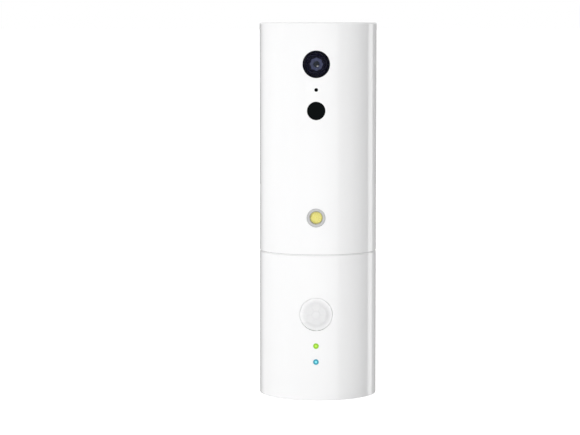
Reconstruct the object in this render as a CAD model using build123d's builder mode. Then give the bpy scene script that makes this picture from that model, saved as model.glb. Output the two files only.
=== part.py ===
"""Portable security camera: an upright cylinder whose camera head turns on a motion-sensing base.

Millimetres. The origin is the centre of the face that the camera stands on, +Z is up, and the lens
looks along -Y. A reach is a distance from the cylinder's axis, towards the front or the back.
"""

from build123d import *
import math
import os

os.makedirs("parts", exist_ok=True)

# Outside of the cylinder
outer_d = 37.0
total_h = 118.0
seam_z = 45.8
seam_gap = 0.4
wall = 1.8
top_thick = 2.0
top_round = 0.9
seam_round = 0.35
foot_round = 0.3

# Heights of what shows in front
lens_below_top = 12.9
mic_below_lens = 7.9
light_below_mic = 6.5
flash_above_seam = 11.7
pir_below_seam = 18.5
blue_above_tray = 1.5
green_above_blue = 5.0

# Radii of what shows in front
lens_window_r = 4.2
lens_glass_r = 1.95
mic_hole_r = 0.58
light_window_r = 2.8
flash_ring_r = 2.85
flash_lens_r = 1.95
pir_r = 5.1
pir_proud = 1.15
status_r = 0.85

# Clearances
slip = 0.05
loose = 0.3
inset = 0.1

# Fasteners
screw_r = 1.0
screw_head_r = 1.7
screw_head_h = 1.2
screw_length = 4.0
screw_edge = 0.5
boss_r = 2.4
boss_h = 4.5
boss_start = 30.0
boss_count = 3

# Swivel between the head and the base
head_turn = 160.0
stop_margin = 1.4
deck_thick = 2.2
collar_h = 3.0
collar_thick = 1.75
spindle_r = 5.0
spindle_bore_r = 3.2
bush_thick = 1.2
bush_flange_r = 7.6
bush_flange_h = 0.8
clip_thick = 0.6
clip_play = 0.1
clip_groove = 0.5
clip_r = 6.8
clip_mouth = 3.0
spindle_tip = 1.0
track_edge = 6.7
track_half = 1.0
track_depth = 1.2
peg_r = 0.8
washer_edge = 1.2
washer_w = 3.5
washer_thick = 0.3

# Floor of the head and frame inside it
turret_thick = 2.2
frame_thick = 1.6
frame_edge = 2.2
board_thick = 1.2
board_edge = 0.5
board_reach = 4.0
frame_foot_h = 1.5
frame_foot_w = 6.0
frame_foot_x = 8.5
frame_top_gap = 2.5
board_margin = 1.5

# Camera
lens_seat_depth = 2.9
lens_socket_wall = 1.15
bezel_r = 5.4
bezel_bore_r = 3.4
bezel_thick = 1.7
gasket_thick = 0.9
window_thick = 1.4
barrel_nose_r = 3.2
barrel_body_r = 3.95
barrel_lip = 0.4
barrel_chamfer = 0.2
barrel_bore_r = 1.6
barrel_gap = 0.4
front_lens_r = 2.35
front_lens_thick = 1.2
front_lens_bulge = 0.3
holder_w = 11.0
holder_gap = 0.1
holder_shelf = 0.6
shelf_bore_r = 2.8
holder_cavity_w = 8.4
holder_cavity_depth = 2.5
filter_w = 6.6
filter_thick = 0.4
sensor_w = 6.8
sensor_h = 6.2
sensor_thick = 1.2
camera_board_w = 13.0
camera_board_h = 12.0
camera_board_thick = 0.8

# Microphone, light sensor and torch light
mic_w = 3.8
mic_h = 3.0
mic_thick = 1.2
boot_r = 1.1
flange_extra = 0.8
flange_thick = 0.8
flange_depth = 3.2
pad_extra = 0.3
light_sensor_w = 3.2
light_sensor_thick = 2.0
light_window_thick = 2.2
flash_ring_depth = 2.6
flash_lens_thick = 1.0
flash_lens_round = 0.25
flash_lens_sunk = 0.25
phosphor_thick = 1.4
package_w = 3.6
package_thick = 0.8
flash_board_r = 3.9
flash_board_thick = 1.0
sink_r = 3.2
sink_fin_r = 3.9
sink_fin = 0.9
sink_pitch = 1.8

# Other parts on the head's board
shield_w = 20.0
shield_room = 5.0
shield_thick = 2.4
antenna_w = 4.0
antenna_h = 12.0
antenna_thick = 1.0
antenna_edge = 1.4
plug_w = 8.0
plug_depth = 4.4
plug_h = 4.2
frame_screw_edge = 2.0
frame_screw_low = 5.5
frame_screw_high = 4.0
frame_screw_head_r = 1.7

# Speaker
speaker_above_seam = 31.0
speaker_r = 9.0
speaker_body_r = 7.9
speaker_body_depth = 2.5
speaker_rim = 0.8
speaker_cone_r = 6.6
speaker_cap_r = 2.2
speaker_cone_depth = 1.0
speaker_depth = 8.1
speaker_tube_wall = 1.0
speaker_gasket_depth = 4.9
speaker_gasket_wall = 1.4
mesh_thick = 0.35
mesh_r = 8.2
grille_hole_r = 0.6
grille_pitch = 2.2
grille_rings = 3

# Underside of the base
foot_proud = 0.3
foot_sunk = 0.6
foot_edge = 0.7
foot_ring_round = 0.1
foot_w = 4.6
plate_thick = 3.4
thread_r = 2.6
insert_r = 4.2
insert_flange_r = 5.0
insert_flange_h = 0.8
insert_length = 8.0
insert_recess = 0.2
insert_boss_r = 6.2
insert_roof = 1.0

# Frame inside the base
tray_thick = 1.4
tray_edge = 1.1
rail_edge = 4.7
rail_thick = 1.4
rail_front = 7.0
rail_back = 8.0
battery_h = 22.0
battery_depth = 12.0
battery_round = 1.6
clamp_thick = 1.4
clamp_half = 4.0
base_board_thick = 1.0
base_board_over = 0.4
base_board_above_clamp = 3.3
harness_above_clamp = 0.2
harness_r = 1.3
harness_bend = 3.0
harness_above_floor = 1.5

# Motion sensor and status lights
pir_rim_depth = 0.5
pir_wall = 0.7
pir_flange_r = 6.2
pir_flange_depth = 3.2
pir_flange_thick = 0.8
pir_socket_r = 6.3
pir_socket_wall = 1.2
pir_socket_depth = 5.6
pir_ring_wall = 1.7
pir_can_r = 4.1
pir_can_depth = 4.2
pir_window_w = 4.0
pir_window_h = 3.0
pir_window_thick = 0.3
status_led_w = 2.0
status_led_h = 1.2
status_led_thick = 1.0
pipe_flange_r = 1.1
pipe_flange_depth = 3.4

# Ports at the back of the base
usb_above_tray = 4.8
usb_w = 7.6
usb_h = 2.9
usb_corner_r = 0.58
usb_wall = 0.35
usb_tongue_w = 4.4
usb_tongue_h = 0.7
usb_tongue_sunk = 0.95
socket_proud = 0.3
card_above_usb = 5.0
card_w = 13.0
card_h = 1.9
card_slot_w = 11.2
card_slot_h = 0.9
card_back_wall = 1.2
reset_above_card = 3.8
reset_r = 0.9
reset_flange_r = 1.4
reset_flange_thick = 0.7
reset_travel = 0.3
reset_sunk = 0.3
switch_gap = 0.1
reset_switch_w = 3.4
reset_flange_gap = 0.3
panel_depth = 5.6
panel_thick = 1.0
panel_half_w = 7.6
panel_post_w = 1.2
panel_above_door = 0.8
socket_gap = 0.2

# Port door
door_free_angle = 22.0
door_hinge_angle = 22.0
door_thick = 1.4
door_below_usb = 4.4
door_above_reset = 2.6
door_play = 0.3
knuckle_sunk = 0.02
knuckle_r = 1.2
door_pin_r = 0.45
door_pin_grip = 1.8
door_nick_r = 1.1

# Power button
power_above_reset = 8.4
power_r = 3.0
power_running = 0.1
power_proud = 0.6
power_round = 0.3
power_travel = 0.45
power_stem_r = 1.6
power_stem_length = 1.2
power_switch_w = 6.0
power_nub_r = 1.7
power_nub_depth = 0.7
power_flange_extra = 0.7
power_flange_depth = 3.6
power_flange_thick = 0.8

# Sizes and heights that follow from the ones above
outer_r = outer_d / 2
inner_r = outer_r - wall
base_top = seam_z - seam_gap / 2
head_bottom = seam_z + seam_gap / 2
turret_top = head_bottom + turret_thick
lens_z = total_h - lens_below_top
mic_z = lens_z - mic_below_lens
light_z = mic_z - light_below_mic
flash_z = seam_z + flash_above_seam
pir_z = seam_z - pir_below_seam
boss_ring_r = inner_r - screw_edge - screw_head_r
face_reach = outer_r - inset
track_r = inner_r - track_edge
lens_seat_reach = outer_r - lens_seat_depth
flange_reach = outer_r - flange_depth
speaker_reach = outer_r - speaker_depth
speaker_gasket_reach = outer_r - speaker_gasket_depth
frame_w = 2 * (inner_r - frame_edge)
board_w = frame_w - 2 * board_edge
frame_screw_x = board_w / 2 - frame_screw_edge
antenna_x = (board_w - antenna_w) / 2 - antenna_edge


def front(height, reach):
    """Plane that faces the front, at a height and a distance before the axis."""
    return Plane(origin=(0, -reach, height), x_dir=(1, 0, 0), z_dir=(0, -1, 0))


def back(height, reach):
    """Plane that faces the back, at a height and a distance behind the axis."""
    return Plane(origin=(0, reach, height), x_dir=(-1, 0, 0), z_dir=(0, 1, 0))


def bar(side, height, start, end, radius, x=0, mode=Mode.ADD):
    """Round bar square to the side's plane, between two reaches."""
    with BuildSketch(side(height, start)) as disc:
        with Locations((x, 0)):
            Circle(radius)
    extrude(disc.sketch, amount=end - start, mode=mode)


def block(side, height, start, end, width, tall, x=0, mode=Mode.ADD):
    """Block square to the side's plane, between two reaches, centred on its height."""
    with BuildSketch(side(height, start)) as rectangle:
        with Locations((x, 0)):
            Rectangle(width, tall)
    extrude(rectangle.sketch, amount=end - start, mode=mode)


def disc_up(low, high, radius, mode=Mode.ADD):
    """Disc round the cylinder's axis between two heights."""
    with BuildSketch(Plane.XY.offset(low)) as disc:
        Circle(radius)
    extrude(disc.sketch, amount=high - low, mode=mode)


def trim_to_outside(low, high, depth):
    """Keep only what lies inside the cylinder's outside, sunk by a depth."""
    with BuildSketch(Plane.XY.offset(low)) as outline:
        Circle(outer_r - depth)
    extrude(outline.sketch, amount=high - low, mode=Mode.INTERSECT)


def screw_up(seat, length):
    """Pan-head screws whose heads lie under a seat, with their shanks pointing up."""
    with BuildSketch(Plane.XY.offset(seat - screw_head_h)) as heads:
        with PolarLocations(boss_ring_r, boss_count, start_angle=boss_start):
            Circle(screw_head_r)
    extrude(heads.sketch, amount=screw_head_h)
    with BuildSketch(Plane.XY.offset(seat)) as shanks:
        with PolarLocations(boss_ring_r, boss_count, start_angle=boss_start):
            Circle(screw_r)
    extrude(shanks.sketch, amount=length)


def bosses(low, high):
    """Screw bosses that grow from the shell's inner wall, with their pilot holes."""
    with BuildSketch(Plane.XY.offset(low)) as posts:
        with PolarLocations(boss_ring_r, boss_count, start_angle=boss_start):
            Circle(boss_r)
        Circle(inner_r + slip, mode=Mode.INTERSECT)
    extrude(posts.sketch, amount=high - low)
    with BuildSketch(Plane.XY.offset(low)) as pilots:
        with PolarLocations(boss_ring_r, boss_count, start_angle=boss_start):
            Circle(screw_r + slip)
    extrude(pilots.sketch, amount=high - low, mode=Mode.SUBTRACT)


def screw_holes(low, high, seat):
    """Holes for the screws through a plate, with their heads' counterbores below the seat."""
    with BuildSketch(Plane.XY.offset(low)) as counterbores:
        with PolarLocations(boss_ring_r, boss_count, start_angle=boss_start):
            Circle(screw_head_r + inset)
    extrude(counterbores.sketch, amount=seat - low, mode=Mode.SUBTRACT)
    with BuildSketch(Plane.XY.offset(seat)) as holes:
        with PolarLocations(boss_ring_r, boss_count, start_angle=boss_start):
            Circle(screw_r + slip)
    extrude(holes.sketch, amount=high - seat, mode=Mode.SUBTRACT)


def save(piece, name):
    """Label a finished piece and write it to its own file."""
    piece.part.label = name
    export_step(piece.part, f"parts/{name}.step")


# Head shell: a cup that is closed at the top, with the front openings and the speaker grille
lens_socket_r = bezel_r + slip
lens_socket_reach = lens_seat_reach - bezel_thick - gasket_thick
small_pad_reach = flange_reach + flange_thick
speaker_z = seam_z + speaker_above_seam
light_pad_r = light_window_r + flange_extra + pad_extra
flash_pad_r = flash_ring_r + flange_extra + pad_extra

with BuildPart() as head_shell:
    disc_up(head_bottom, total_h, outer_r)
    disc_up(head_bottom, total_h - top_thick, inner_r, mode=Mode.SUBTRACT)
    bosses(turret_top, turret_top + boss_h)
    bar(front, lens_z, lens_socket_reach, outer_r, lens_socket_r + lens_socket_wall)
    bar(front, light_z, small_pad_reach, outer_r, light_pad_r)
    bar(front, flash_z, small_pad_reach, outer_r, flash_pad_r)
    trim_to_outside(head_bottom, total_h, 0)
    bar(front, lens_z, lens_socket_reach, lens_seat_reach, lens_socket_r, mode=Mode.SUBTRACT)
    bar(front, lens_z, lens_seat_reach, outer_r, lens_window_r + slip, mode=Mode.SUBTRACT)
    bar(front, mic_z, lens_socket_reach, outer_r, mic_hole_r, mode=Mode.SUBTRACT)
    bar(front, light_z, inner_r - wall, outer_r, light_window_r + slip, mode=Mode.SUBTRACT)
    bar(front, flash_z, inner_r - wall, outer_r, flash_ring_r + slip, mode=Mode.SUBTRACT)
    with BuildSketch(back(speaker_z, speaker_gasket_reach)) as grille:
        Circle(grille_hole_r)
        for ring in range(1, grille_rings + 1):
            with PolarLocations(ring * grille_pitch, 6 * ring):
                Circle(grille_hole_r)
    extrude(grille.sketch, amount=outer_r - speaker_gasket_reach, mode=Mode.SUBTRACT)
    top_edge = head_shell.edges().filter_by(GeomType.CIRCLE).sort_by(Axis.Z)[-1]
    fillet(top_edge, radius=top_round)
    bottom_edges = head_shell.edges().filter_by(GeomType.CIRCLE).group_by(Axis.Z)[0]
    fillet(bottom_edges.sort_by(SortBy.RADIUS)[-1], radius=seam_round)
save(head_shell, "head_shell")

# Turret plate: floor of the head, with the hollow spindle and the stop peg
clip_top = base_top - deck_thick - collar_h - bush_flange_h - clip_play
clip_low = clip_top - clip_thick
spindle_low = clip_low - spindle_tip
peg_low = base_top - track_depth + loose

with BuildPart() as turret_plate:
    disc_up(head_bottom, turret_top, inner_r - slip)
    disc_up(spindle_low, head_bottom, spindle_r)
    disc_up(spindle_low, turret_top, spindle_bore_r, mode=Mode.SUBTRACT)
    with BuildSketch(Plane.XY.offset(clip_low)) as groove:
        Circle(spindle_r)
        Circle(spindle_r - clip_groove, mode=Mode.SUBTRACT)
    extrude(groove.sketch, amount=clip_thick, mode=Mode.SUBTRACT)
    with BuildSketch(Plane.XY.offset(peg_low)) as peg:
        with Locations((0, track_r)):
            Circle(peg_r)
    extrude(peg.sketch, amount=head_bottom - peg_low)
    screw_holes(head_bottom, turret_top, head_bottom + screw_head_h + inset)
save(turret_plate, "turret_plate")

with BuildPart() as turret_screws:
    screw_up(head_bottom + screw_head_h + inset, screw_length)
save(turret_screws, "turret_screws")

# Spring clip that snaps into the spindle's groove below the base's deck
with BuildPart() as swivel_clip:
    with BuildSketch(Plane.XY.offset(clip_low)) as clip_shape:
        Circle(clip_r)
        Circle(spindle_r - clip_groove, mode=Mode.SUBTRACT)
        with Locations((0, -clip_r)):
            Rectangle(2 * clip_mouth, 2 * clip_r, mode=Mode.SUBTRACT)
    extrude(amount=clip_thick)
save(swivel_clip, "swivel_clip")

# Inner frame: an upright plate on two feet, with a round mount for the speaker behind it
board_back = board_reach - board_thick
frame_back = board_back - frame_thick
frame_top = total_h - top_thick - frame_top_gap
screw_low_z = turret_top + frame_screw_low
screw_high_z = frame_top - frame_screw_high
frame_screw_places = [(x, z) for z in (screw_low_z, screw_high_z) for x in (-frame_screw_x, frame_screw_x)]
speaker_body_reach = speaker_reach - speaker_body_depth

with BuildPart() as head_frame:
    frame_h = frame_top - turret_top
    block(front, turret_top + frame_h / 2, frame_back, board_back, frame_w, frame_h)
    with BuildSketch(Plane.XY.offset(turret_top)) as feet:
        with GridLocations(2 * frame_foot_x, 0, 2, 1):
            Rectangle(frame_foot_w, 2 * board_back)
    extrude(amount=frame_foot_h)
    harness_gap = harness_above_floor + loose
    gap_z = turret_top + harness_gap / 2
    block(front, gap_z, frame_back, board_back, 2 * spindle_bore_r, harness_gap, mode=Mode.SUBTRACT)
    bar(back, speaker_z, -frame_back, speaker_reach, speaker_r)
    bar(back, speaker_z, -frame_back, speaker_reach, speaker_r - speaker_tube_wall, mode=Mode.SUBTRACT)
    with BuildSketch(front(0, frame_back)) as frame_holes:
        with Locations(*frame_screw_places):
            Circle(screw_r + slip)
    extrude(frame_holes.sketch, amount=frame_thick, mode=Mode.SUBTRACT)
save(head_frame, "head_frame")

# Main circuit board and the parts soldered to it
board_low = turret_top + board_margin
board_high = frame_top - board_margin

with BuildPart() as main_board:
    block(front, (board_low + board_high) / 2, board_back, board_reach, board_w, board_high - board_low)
    with BuildSketch(front(0, board_back)) as board_holes:
        with Locations(*frame_screw_places):
            Circle(screw_r + slip)
    extrude(board_holes.sketch, amount=board_thick, mode=Mode.SUBTRACT)
save(main_board, "main_board")

with BuildPart() as board_screws:
    with BuildSketch(front(0, frame_back)) as shanks:
        with Locations(*frame_screw_places):
            Circle(screw_r)
    extrude(amount=board_reach - frame_back)
    with BuildSketch(front(0, board_reach)) as heads:
        with Locations(*frame_screw_places):
            Circle(frame_screw_head_r)
    extrude(amount=screw_head_h)
save(board_screws, "board_screws")

shield_low = flash_z + sink_fin_r + shield_room
shield_high = light_z - light_sensor_w / 2 - shield_room
shield_z = (shield_low + shield_high) / 2
shield_h = shield_high - shield_low
with BuildPart() as processor_shield:
    block(front, shield_z, board_reach, board_reach + shield_thick, shield_w, shield_h)
    fillet(processor_shield.edges().filter_by(Axis.Y), radius=screw_edge)
save(processor_shield, "processor_shield")

with BuildPart() as wifi_antenna:
    antenna_z = lens_z - antenna_h / 2
    antenna_face = board_reach + antenna_thick
    block(front, antenna_z, board_reach, antenna_face, antenna_w, antenna_h, x=antenna_x)
save(wifi_antenna, "wifi_antenna")

with BuildPart() as harness_plug:
    plug_z = turret_top + harness_above_floor + loose + plug_h / 2
    block(back, plug_z, -frame_back, plug_depth - frame_back, plug_w, plug_h)
save(harness_plug, "harness_plug")

# Camera: cover window, bezel and gasket in the shell's socket, then the lens and sensor stack
window_back = face_reach - window_thick
bezel_back = lens_seat_reach - bezel_thick
camera_board_front = board_reach + camera_board_thick
holder_front = lens_socket_reach - holder_gap
shelf_back = camera_board_front + holder_cavity_depth
shelf_front = shelf_back + holder_shelf
barrel_tip = window_back - barrel_gap
lens_pocket = barrel_tip - barrel_lip - front_lens_thick

with BuildPart() as lens_window:
    bar(front, lens_z, window_back, outer_r, lens_window_r)
    trim_to_outside(lens_z - lens_window_r, lens_z + lens_window_r, inset)
save(lens_window, "lens_window")

with BuildPart() as lens_bezel:
    bar(front, lens_z, bezel_back, lens_seat_reach, bezel_r)
    bar(front, lens_z, lens_seat_reach, window_back, lens_window_r)
    bar(front, lens_z, bezel_back, window_back, bezel_bore_r, mode=Mode.SUBTRACT)
save(lens_bezel, "lens_bezel")

with BuildPart() as lens_gasket:
    bar(front, lens_z, lens_socket_reach, bezel_back, bezel_r - inset)
    bar(front, lens_z, lens_socket_reach, bezel_back, bezel_bore_r, mode=Mode.SUBTRACT)
save(lens_gasket, "lens_gasket")

with BuildPart() as lens_barrel:
    bar(front, lens_z, shelf_front, holder_front, barrel_body_r)
    bar(front, lens_z, holder_front, barrel_tip, barrel_nose_r)
    bar(front, lens_z, shelf_front, barrel_tip, barrel_bore_r, mode=Mode.SUBTRACT)
    bar(front, lens_z, lens_pocket, barrel_tip - barrel_lip, front_lens_r + slip, mode=Mode.SUBTRACT)
    bar(front, lens_z, barrel_tip - barrel_lip, barrel_tip, lens_glass_r, mode=Mode.SUBTRACT)
    chamfer(lens_barrel.edges().filter_by(GeomType.CIRCLE).sort_by(Axis.Y)[0], length=barrel_chamfer)
save(lens_barrel, "lens_barrel")

with BuildPart() as front_lens:
    bar(front, lens_z, lens_pocket, lens_pocket + front_lens_thick, front_lens_r)
    bar(front, lens_z, lens_pocket + front_lens_thick, barrel_tip - inset, lens_glass_r - slip)
    fillet(front_lens.edges().filter_by(GeomType.CIRCLE).sort_by(Axis.Y)[0], radius=front_lens_bulge - slip)
save(front_lens, "front_lens")

with BuildPart() as lens_holder:
    block(front, lens_z, camera_board_front, holder_front, holder_w, holder_w)
    fillet(lens_holder.edges().filter_by(Axis.Y), radius=screw_edge)
    block(front, lens_z, camera_board_front, shelf_back, holder_cavity_w, holder_cavity_w, mode=Mode.SUBTRACT)
    bar(front, lens_z, shelf_back, shelf_front, shelf_bore_r, mode=Mode.SUBTRACT)
    bar(front, lens_z, shelf_front, holder_front, barrel_body_r + slip, mode=Mode.SUBTRACT)
save(lens_holder, "lens_holder")

with BuildPart() as ir_filter:
    block(front, lens_z, shelf_back - filter_thick, shelf_back, filter_w, filter_w)
save(ir_filter, "ir_filter")

with BuildPart() as image_sensor:
    block(front, lens_z, camera_board_front, camera_board_front + sensor_thick, sensor_w, sensor_h)
save(image_sensor, "image_sensor")

with BuildPart() as camera_board:
    block(front, lens_z, board_reach, camera_board_front, camera_board_w, camera_board_h)
save(camera_board, "camera_board")

# Microphone behind its pinhole, in a rubber boot
with BuildPart() as microphone:
    block(front, mic_z, board_reach, board_reach + mic_thick, mic_w, mic_h)
save(microphone, "microphone")

with BuildPart() as microphone_boot:
    bar(front, mic_z, board_reach + mic_thick, inner_r - inset, boot_r)
    bar(front, mic_z, board_reach + mic_thick, inner_r - inset, mic_hole_r, mode=Mode.SUBTRACT)
save(microphone_boot, "microphone_boot")

# Light sensor behind its dark window
with BuildPart() as light_window:
    bar(front, light_z, flange_reach, small_pad_reach, light_window_r + flange_extra)
    bar(front, light_z, small_pad_reach, outer_r, light_window_r)
    trim_to_outside(light_z - light_pad_r, light_z + light_pad_r, inset)
save(light_window, "light_window")

with BuildPart() as light_guide:
    bar(front, light_z, board_reach + light_sensor_thick, flange_reach, light_sensor_w / 2)
save(light_guide, "light_guide")

with BuildPart() as light_sensor:
    block(front, light_z, board_reach, board_reach + light_sensor_thick, light_sensor_w, light_sensor_w)
save(light_sensor, "light_sensor")

# Torch light: ring, clear lens, yellow emitter, its board and its heat sink
flash_package_back = flange_reach - package_thick
flash_board_back = flash_package_back - flash_board_thick
flash_lens_front = face_reach - flash_lens_sunk

with BuildPart() as flash_ring:
    bar(front, flash_z, flange_reach, small_pad_reach, flash_ring_r + flange_extra)
    bar(front, flash_z, small_pad_reach, outer_r, flash_ring_r)
    trim_to_outside(flash_z - flash_pad_r, flash_z + flash_pad_r, inset)
    bar(front, flash_z, flange_reach, outer_r, flash_lens_r + slip, mode=Mode.SUBTRACT)
save(flash_ring, "flash_ring")

with BuildPart() as flash_lens:
    bar(front, flash_z, flash_lens_front - flash_lens_thick, flash_lens_front, flash_lens_r)
    flash_lens_edge = flash_lens.edges().filter_by(GeomType.CIRCLE).sort_by(Axis.Y)[0]
    fillet(flash_lens_edge, radius=flash_lens_round)
save(flash_lens, "flash_lens")

with BuildPart() as flash_led:
    block(front, flash_z, flash_package_back, flange_reach, package_w, package_w)
    bar(front, flash_z, flange_reach, flange_reach + phosphor_thick, flash_lens_r - inset)
save(flash_led, "flash_led")

with BuildPart() as flash_board:
    bar(front, flash_z, flash_board_back, flash_package_back, flash_board_r)
save(flash_board, "flash_board")

with BuildPart() as flash_heat_sink:
    bar(front, flash_z, board_reach, flash_board_back, sink_r)
    fin_count = int((flash_board_back - board_reach) / sink_pitch)
    for fin in range(fin_count):
        fin_start = board_reach + fin * sink_pitch
        bar(front, flash_z, fin_start, fin_start + sink_fin, sink_fin_r)
save(flash_heat_sink, "flash_heat_sink")

# Speaker in the frame's round mount, with its gasket and the cloth behind the grille
speaker_face = speaker_reach + speaker_rim
with BuildPart() as speaker:
    bar(back, speaker_z, speaker_body_reach, speaker_reach, speaker_body_r)
    bar(back, speaker_z, speaker_reach, speaker_face, speaker_r)
    bar(back, speaker_z, speaker_face - speaker_cone_depth, speaker_face, speaker_cone_r, mode=Mode.SUBTRACT)
    bar(back, speaker_z, speaker_face - speaker_cone_depth, speaker_face, speaker_cap_r)
save(speaker, "speaker")

with BuildPart() as speaker_gasket:
    bar(back, speaker_z, speaker_face, speaker_gasket_reach, speaker_r)
    gasket_bore_r = speaker_r - speaker_gasket_wall
    bar(back, speaker_z, speaker_face, speaker_gasket_reach, gasket_bore_r, mode=Mode.SUBTRACT)
save(speaker_gasket, "speaker_gasket")

with BuildPart() as speaker_mesh:
    with BuildSketch(Plane.XY.offset(speaker_z - mesh_r)) as mesh_arc:
        Circle(inner_r - slip)
        Circle(inner_r - slip - mesh_thick, mode=Mode.SUBTRACT)
    extrude(amount=2 * mesh_r)
    bar(back, speaker_z, 0, outer_r, mesh_r, mode=Mode.INTERSECT)
save(speaker_mesh, "speaker_mesh")

# Heights and reaches inside the base
deck_low = base_top - deck_thick
collar_low = deck_low - collar_h
bush_r = spindle_r + slip + bush_thick
plate_top = foot_proud + plate_thick
screw_seat = foot_proud + foot_sunk + screw_head_h + inset
insert_low = foot_proud + insert_recess
insert_top = insert_low + insert_length
tray_low = insert_top + insert_roof
tray_top = tray_low + tray_thick
blue_z = tray_top + blue_above_tray
green_z = blue_z + green_above_blue
clamp_low = tray_top + battery_h + loose
clamp_top = clamp_low + clamp_thick
base_board_top = clamp_top + base_board_above_clamp
tray_r = inner_r - tray_edge
foot_out_r = inner_r - foot_edge
foot_in_r = foot_out_r - foot_w
washer_out_r = inner_r - washer_edge
washer_in_r = washer_out_r - washer_w
rail_x = inner_r - rail_edge
base_board_w = 2 * (rail_x + base_board_over)
pir_rim_reach = outer_r - pir_rim_depth
pir_flange_reach = outer_r - pir_flange_depth
pir_socket_reach = outer_r - pir_socket_depth
pipe_flange_reach = outer_r - pipe_flange_depth
pipe_seat = pipe_flange_reach + flange_thick
panel_reach = outer_r - panel_depth
power_flange_reach = outer_r - power_flange_depth
board_front = rail_front + base_board_thick
board_face = rail_back + base_board_thick
usb_z = tray_top + usb_above_tray
card_z = usb_z + card_above_usb
reset_z = card_z + reset_above_card
power_z = reset_z + power_above_reset
door_low = usb_z - door_below_usb
door_high = reset_z + door_above_reset
panel_front = panel_reach + panel_thick
port_face = panel_front + socket_proud
pin_ring_r = outer_r - knuckle_r - knuckle_sunk
pin_x = pin_ring_r * math.sin(math.radians(door_hinge_angle))
pin_y = pin_ring_r * math.cos(math.radians(door_hinge_angle))
hinge_clear = math.degrees(math.asin((knuckle_r + door_play) / pin_ring_r))
play_angle = math.degrees(door_play / inner_r)
peg_half_angle = math.degrees(math.asin(peg_r / track_r))
lug_half_angle = 180 - head_turn - peg_half_angle - stop_margin


def back_wedge(free_angle, hinge_angle, mode=Mode.ADD):
    """Wedge from the axis out through the back wall, between two angles from +Y."""
    far = 2 * outer_r
    Polygon(
        (0, 0),
        (far * math.sin(math.radians(hinge_angle)), far * math.cos(math.radians(hinge_angle))),
        (-far * math.sin(math.radians(free_angle)), far * math.cos(math.radians(free_angle))),
        align=None,
        mode=mode,
    )


# Base shell: a tube with a deck, the swivel's collar and the openings in front and behind
with BuildPart() as base_shell:
    disc_up(foot_proud, base_top, outer_r)
    disc_up(foot_proud, deck_low, inner_r, mode=Mode.SUBTRACT)
    disc_up(collar_low, deck_low, bush_r + slip + collar_thick)
    disc_up(collar_low, base_top, bush_r + slip, mode=Mode.SUBTRACT)
    with BuildSketch(Plane.XY.offset(base_top - track_depth)) as track:
        Circle(track_r + track_half)
        Circle(track_r - track_half, mode=Mode.SUBTRACT)
        lug_far = 2 * track_r
        lug_x = lug_far * math.sin(math.radians(lug_half_angle))
        lug_y = lug_far * math.cos(math.radians(lug_half_angle))
        Polygon((0, 0), (-lug_x, -lug_y), (lug_x, -lug_y), align=None, mode=Mode.SUBTRACT)
    extrude(track.sketch, amount=track_depth, mode=Mode.SUBTRACT)
    bosses(plate_top, tray_low)
    bar(front, pir_z, pir_socket_reach, outer_r, pir_socket_r + pir_socket_wall)
    for light_height in (green_z, blue_z):
        bar(front, light_height, pipe_seat, outer_r, pipe_flange_r + pad_extra)
    power_stop = power_flange_reach + power_flange_thick + slip
    bar(back, power_z, power_stop, outer_r, power_r + power_flange_extra + pad_extra)
    trim_to_outside(foot_proud, base_top, 0)
    bar(front, pir_z, pir_socket_reach, pir_flange_reach, pir_socket_r, mode=Mode.SUBTRACT)
    bar(front, pir_z, pir_flange_reach, outer_r, pir_r + slip, mode=Mode.SUBTRACT)
    for light_height in (green_z, blue_z):
        bar(front, light_height, pir_socket_reach, pipe_seat, pipe_flange_r + slip, mode=Mode.SUBTRACT)
        bar(front, light_height, inner_r - wall, outer_r, status_r + slip, mode=Mode.SUBTRACT)
    bar(back, power_z, power_stop, outer_r, power_r + power_running, mode=Mode.SUBTRACT)
    with BuildSketch(Plane.XY.offset(door_low - door_play)) as door_window:
        back_wedge(door_free_angle, door_hinge_angle + hinge_clear)
        Circle(inner_r - wall, mode=Mode.SUBTRACT)
    extrude(door_window.sketch, amount=door_high - door_low + 2 * door_play, mode=Mode.SUBTRACT)
    with BuildSketch(Plane.XY.offset(door_low - door_play - door_pin_grip)) as pin_holes:
        with Locations((pin_x, pin_y)):
            Circle(door_pin_r + slip)
    extrude(
        pin_holes.sketch,
        amount=door_high - door_low + 2 * (door_play + door_pin_grip),
        mode=Mode.SUBTRACT,
    )
    rim_edges = base_shell.edges().filter_by(GeomType.CIRCLE).group_by(Axis.Z)
    fillet(rim_edges[-1].sort_by(SortBy.RADIUS)[-1], radius=seam_round)
    foot_edges = base_shell.edges().filter_by(GeomType.CIRCLE).group_by(Axis.Z)[0]
    fillet(foot_edges.sort_by(SortBy.RADIUS)[-1], radius=foot_round)
save(base_shell, "base_shell")

with BuildPart() as swivel_bushing:
    disc_up(collar_low, base_top, bush_r)
    disc_up(collar_low - bush_flange_h, collar_low, bush_flange_r)
    disc_up(collar_low - bush_flange_h, base_top, spindle_r + slip, mode=Mode.SUBTRACT)
save(swivel_bushing, "swivel_bushing")

with BuildPart() as swivel_washer:
    disc_up(base_top, base_top + washer_thick, washer_out_r)
    disc_up(base_top, base_top + washer_thick, washer_in_r, mode=Mode.SUBTRACT)
save(swivel_washer, "swivel_washer")

# Underside: plate, rubber ring, tripod insert and screws
with BuildPart() as base_plate:
    disc_up(foot_proud, plate_top, inner_r - slip)
    disc_up(plate_top, tray_low, insert_boss_r)
    disc_up(insert_low, insert_top, insert_r + slip, mode=Mode.SUBTRACT)
    disc_up(foot_proud, insert_low + insert_flange_h, insert_flange_r + slip, mode=Mode.SUBTRACT)
    with BuildSketch(Plane.XY.offset(foot_proud)) as foot_groove:
        Circle(foot_out_r)
        Circle(foot_in_r, mode=Mode.SUBTRACT)
    extrude(foot_groove.sketch, amount=foot_sunk, mode=Mode.SUBTRACT)
    screw_holes(foot_proud + foot_sunk, plate_top, screw_seat)
save(base_plate, "base_plate")

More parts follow.
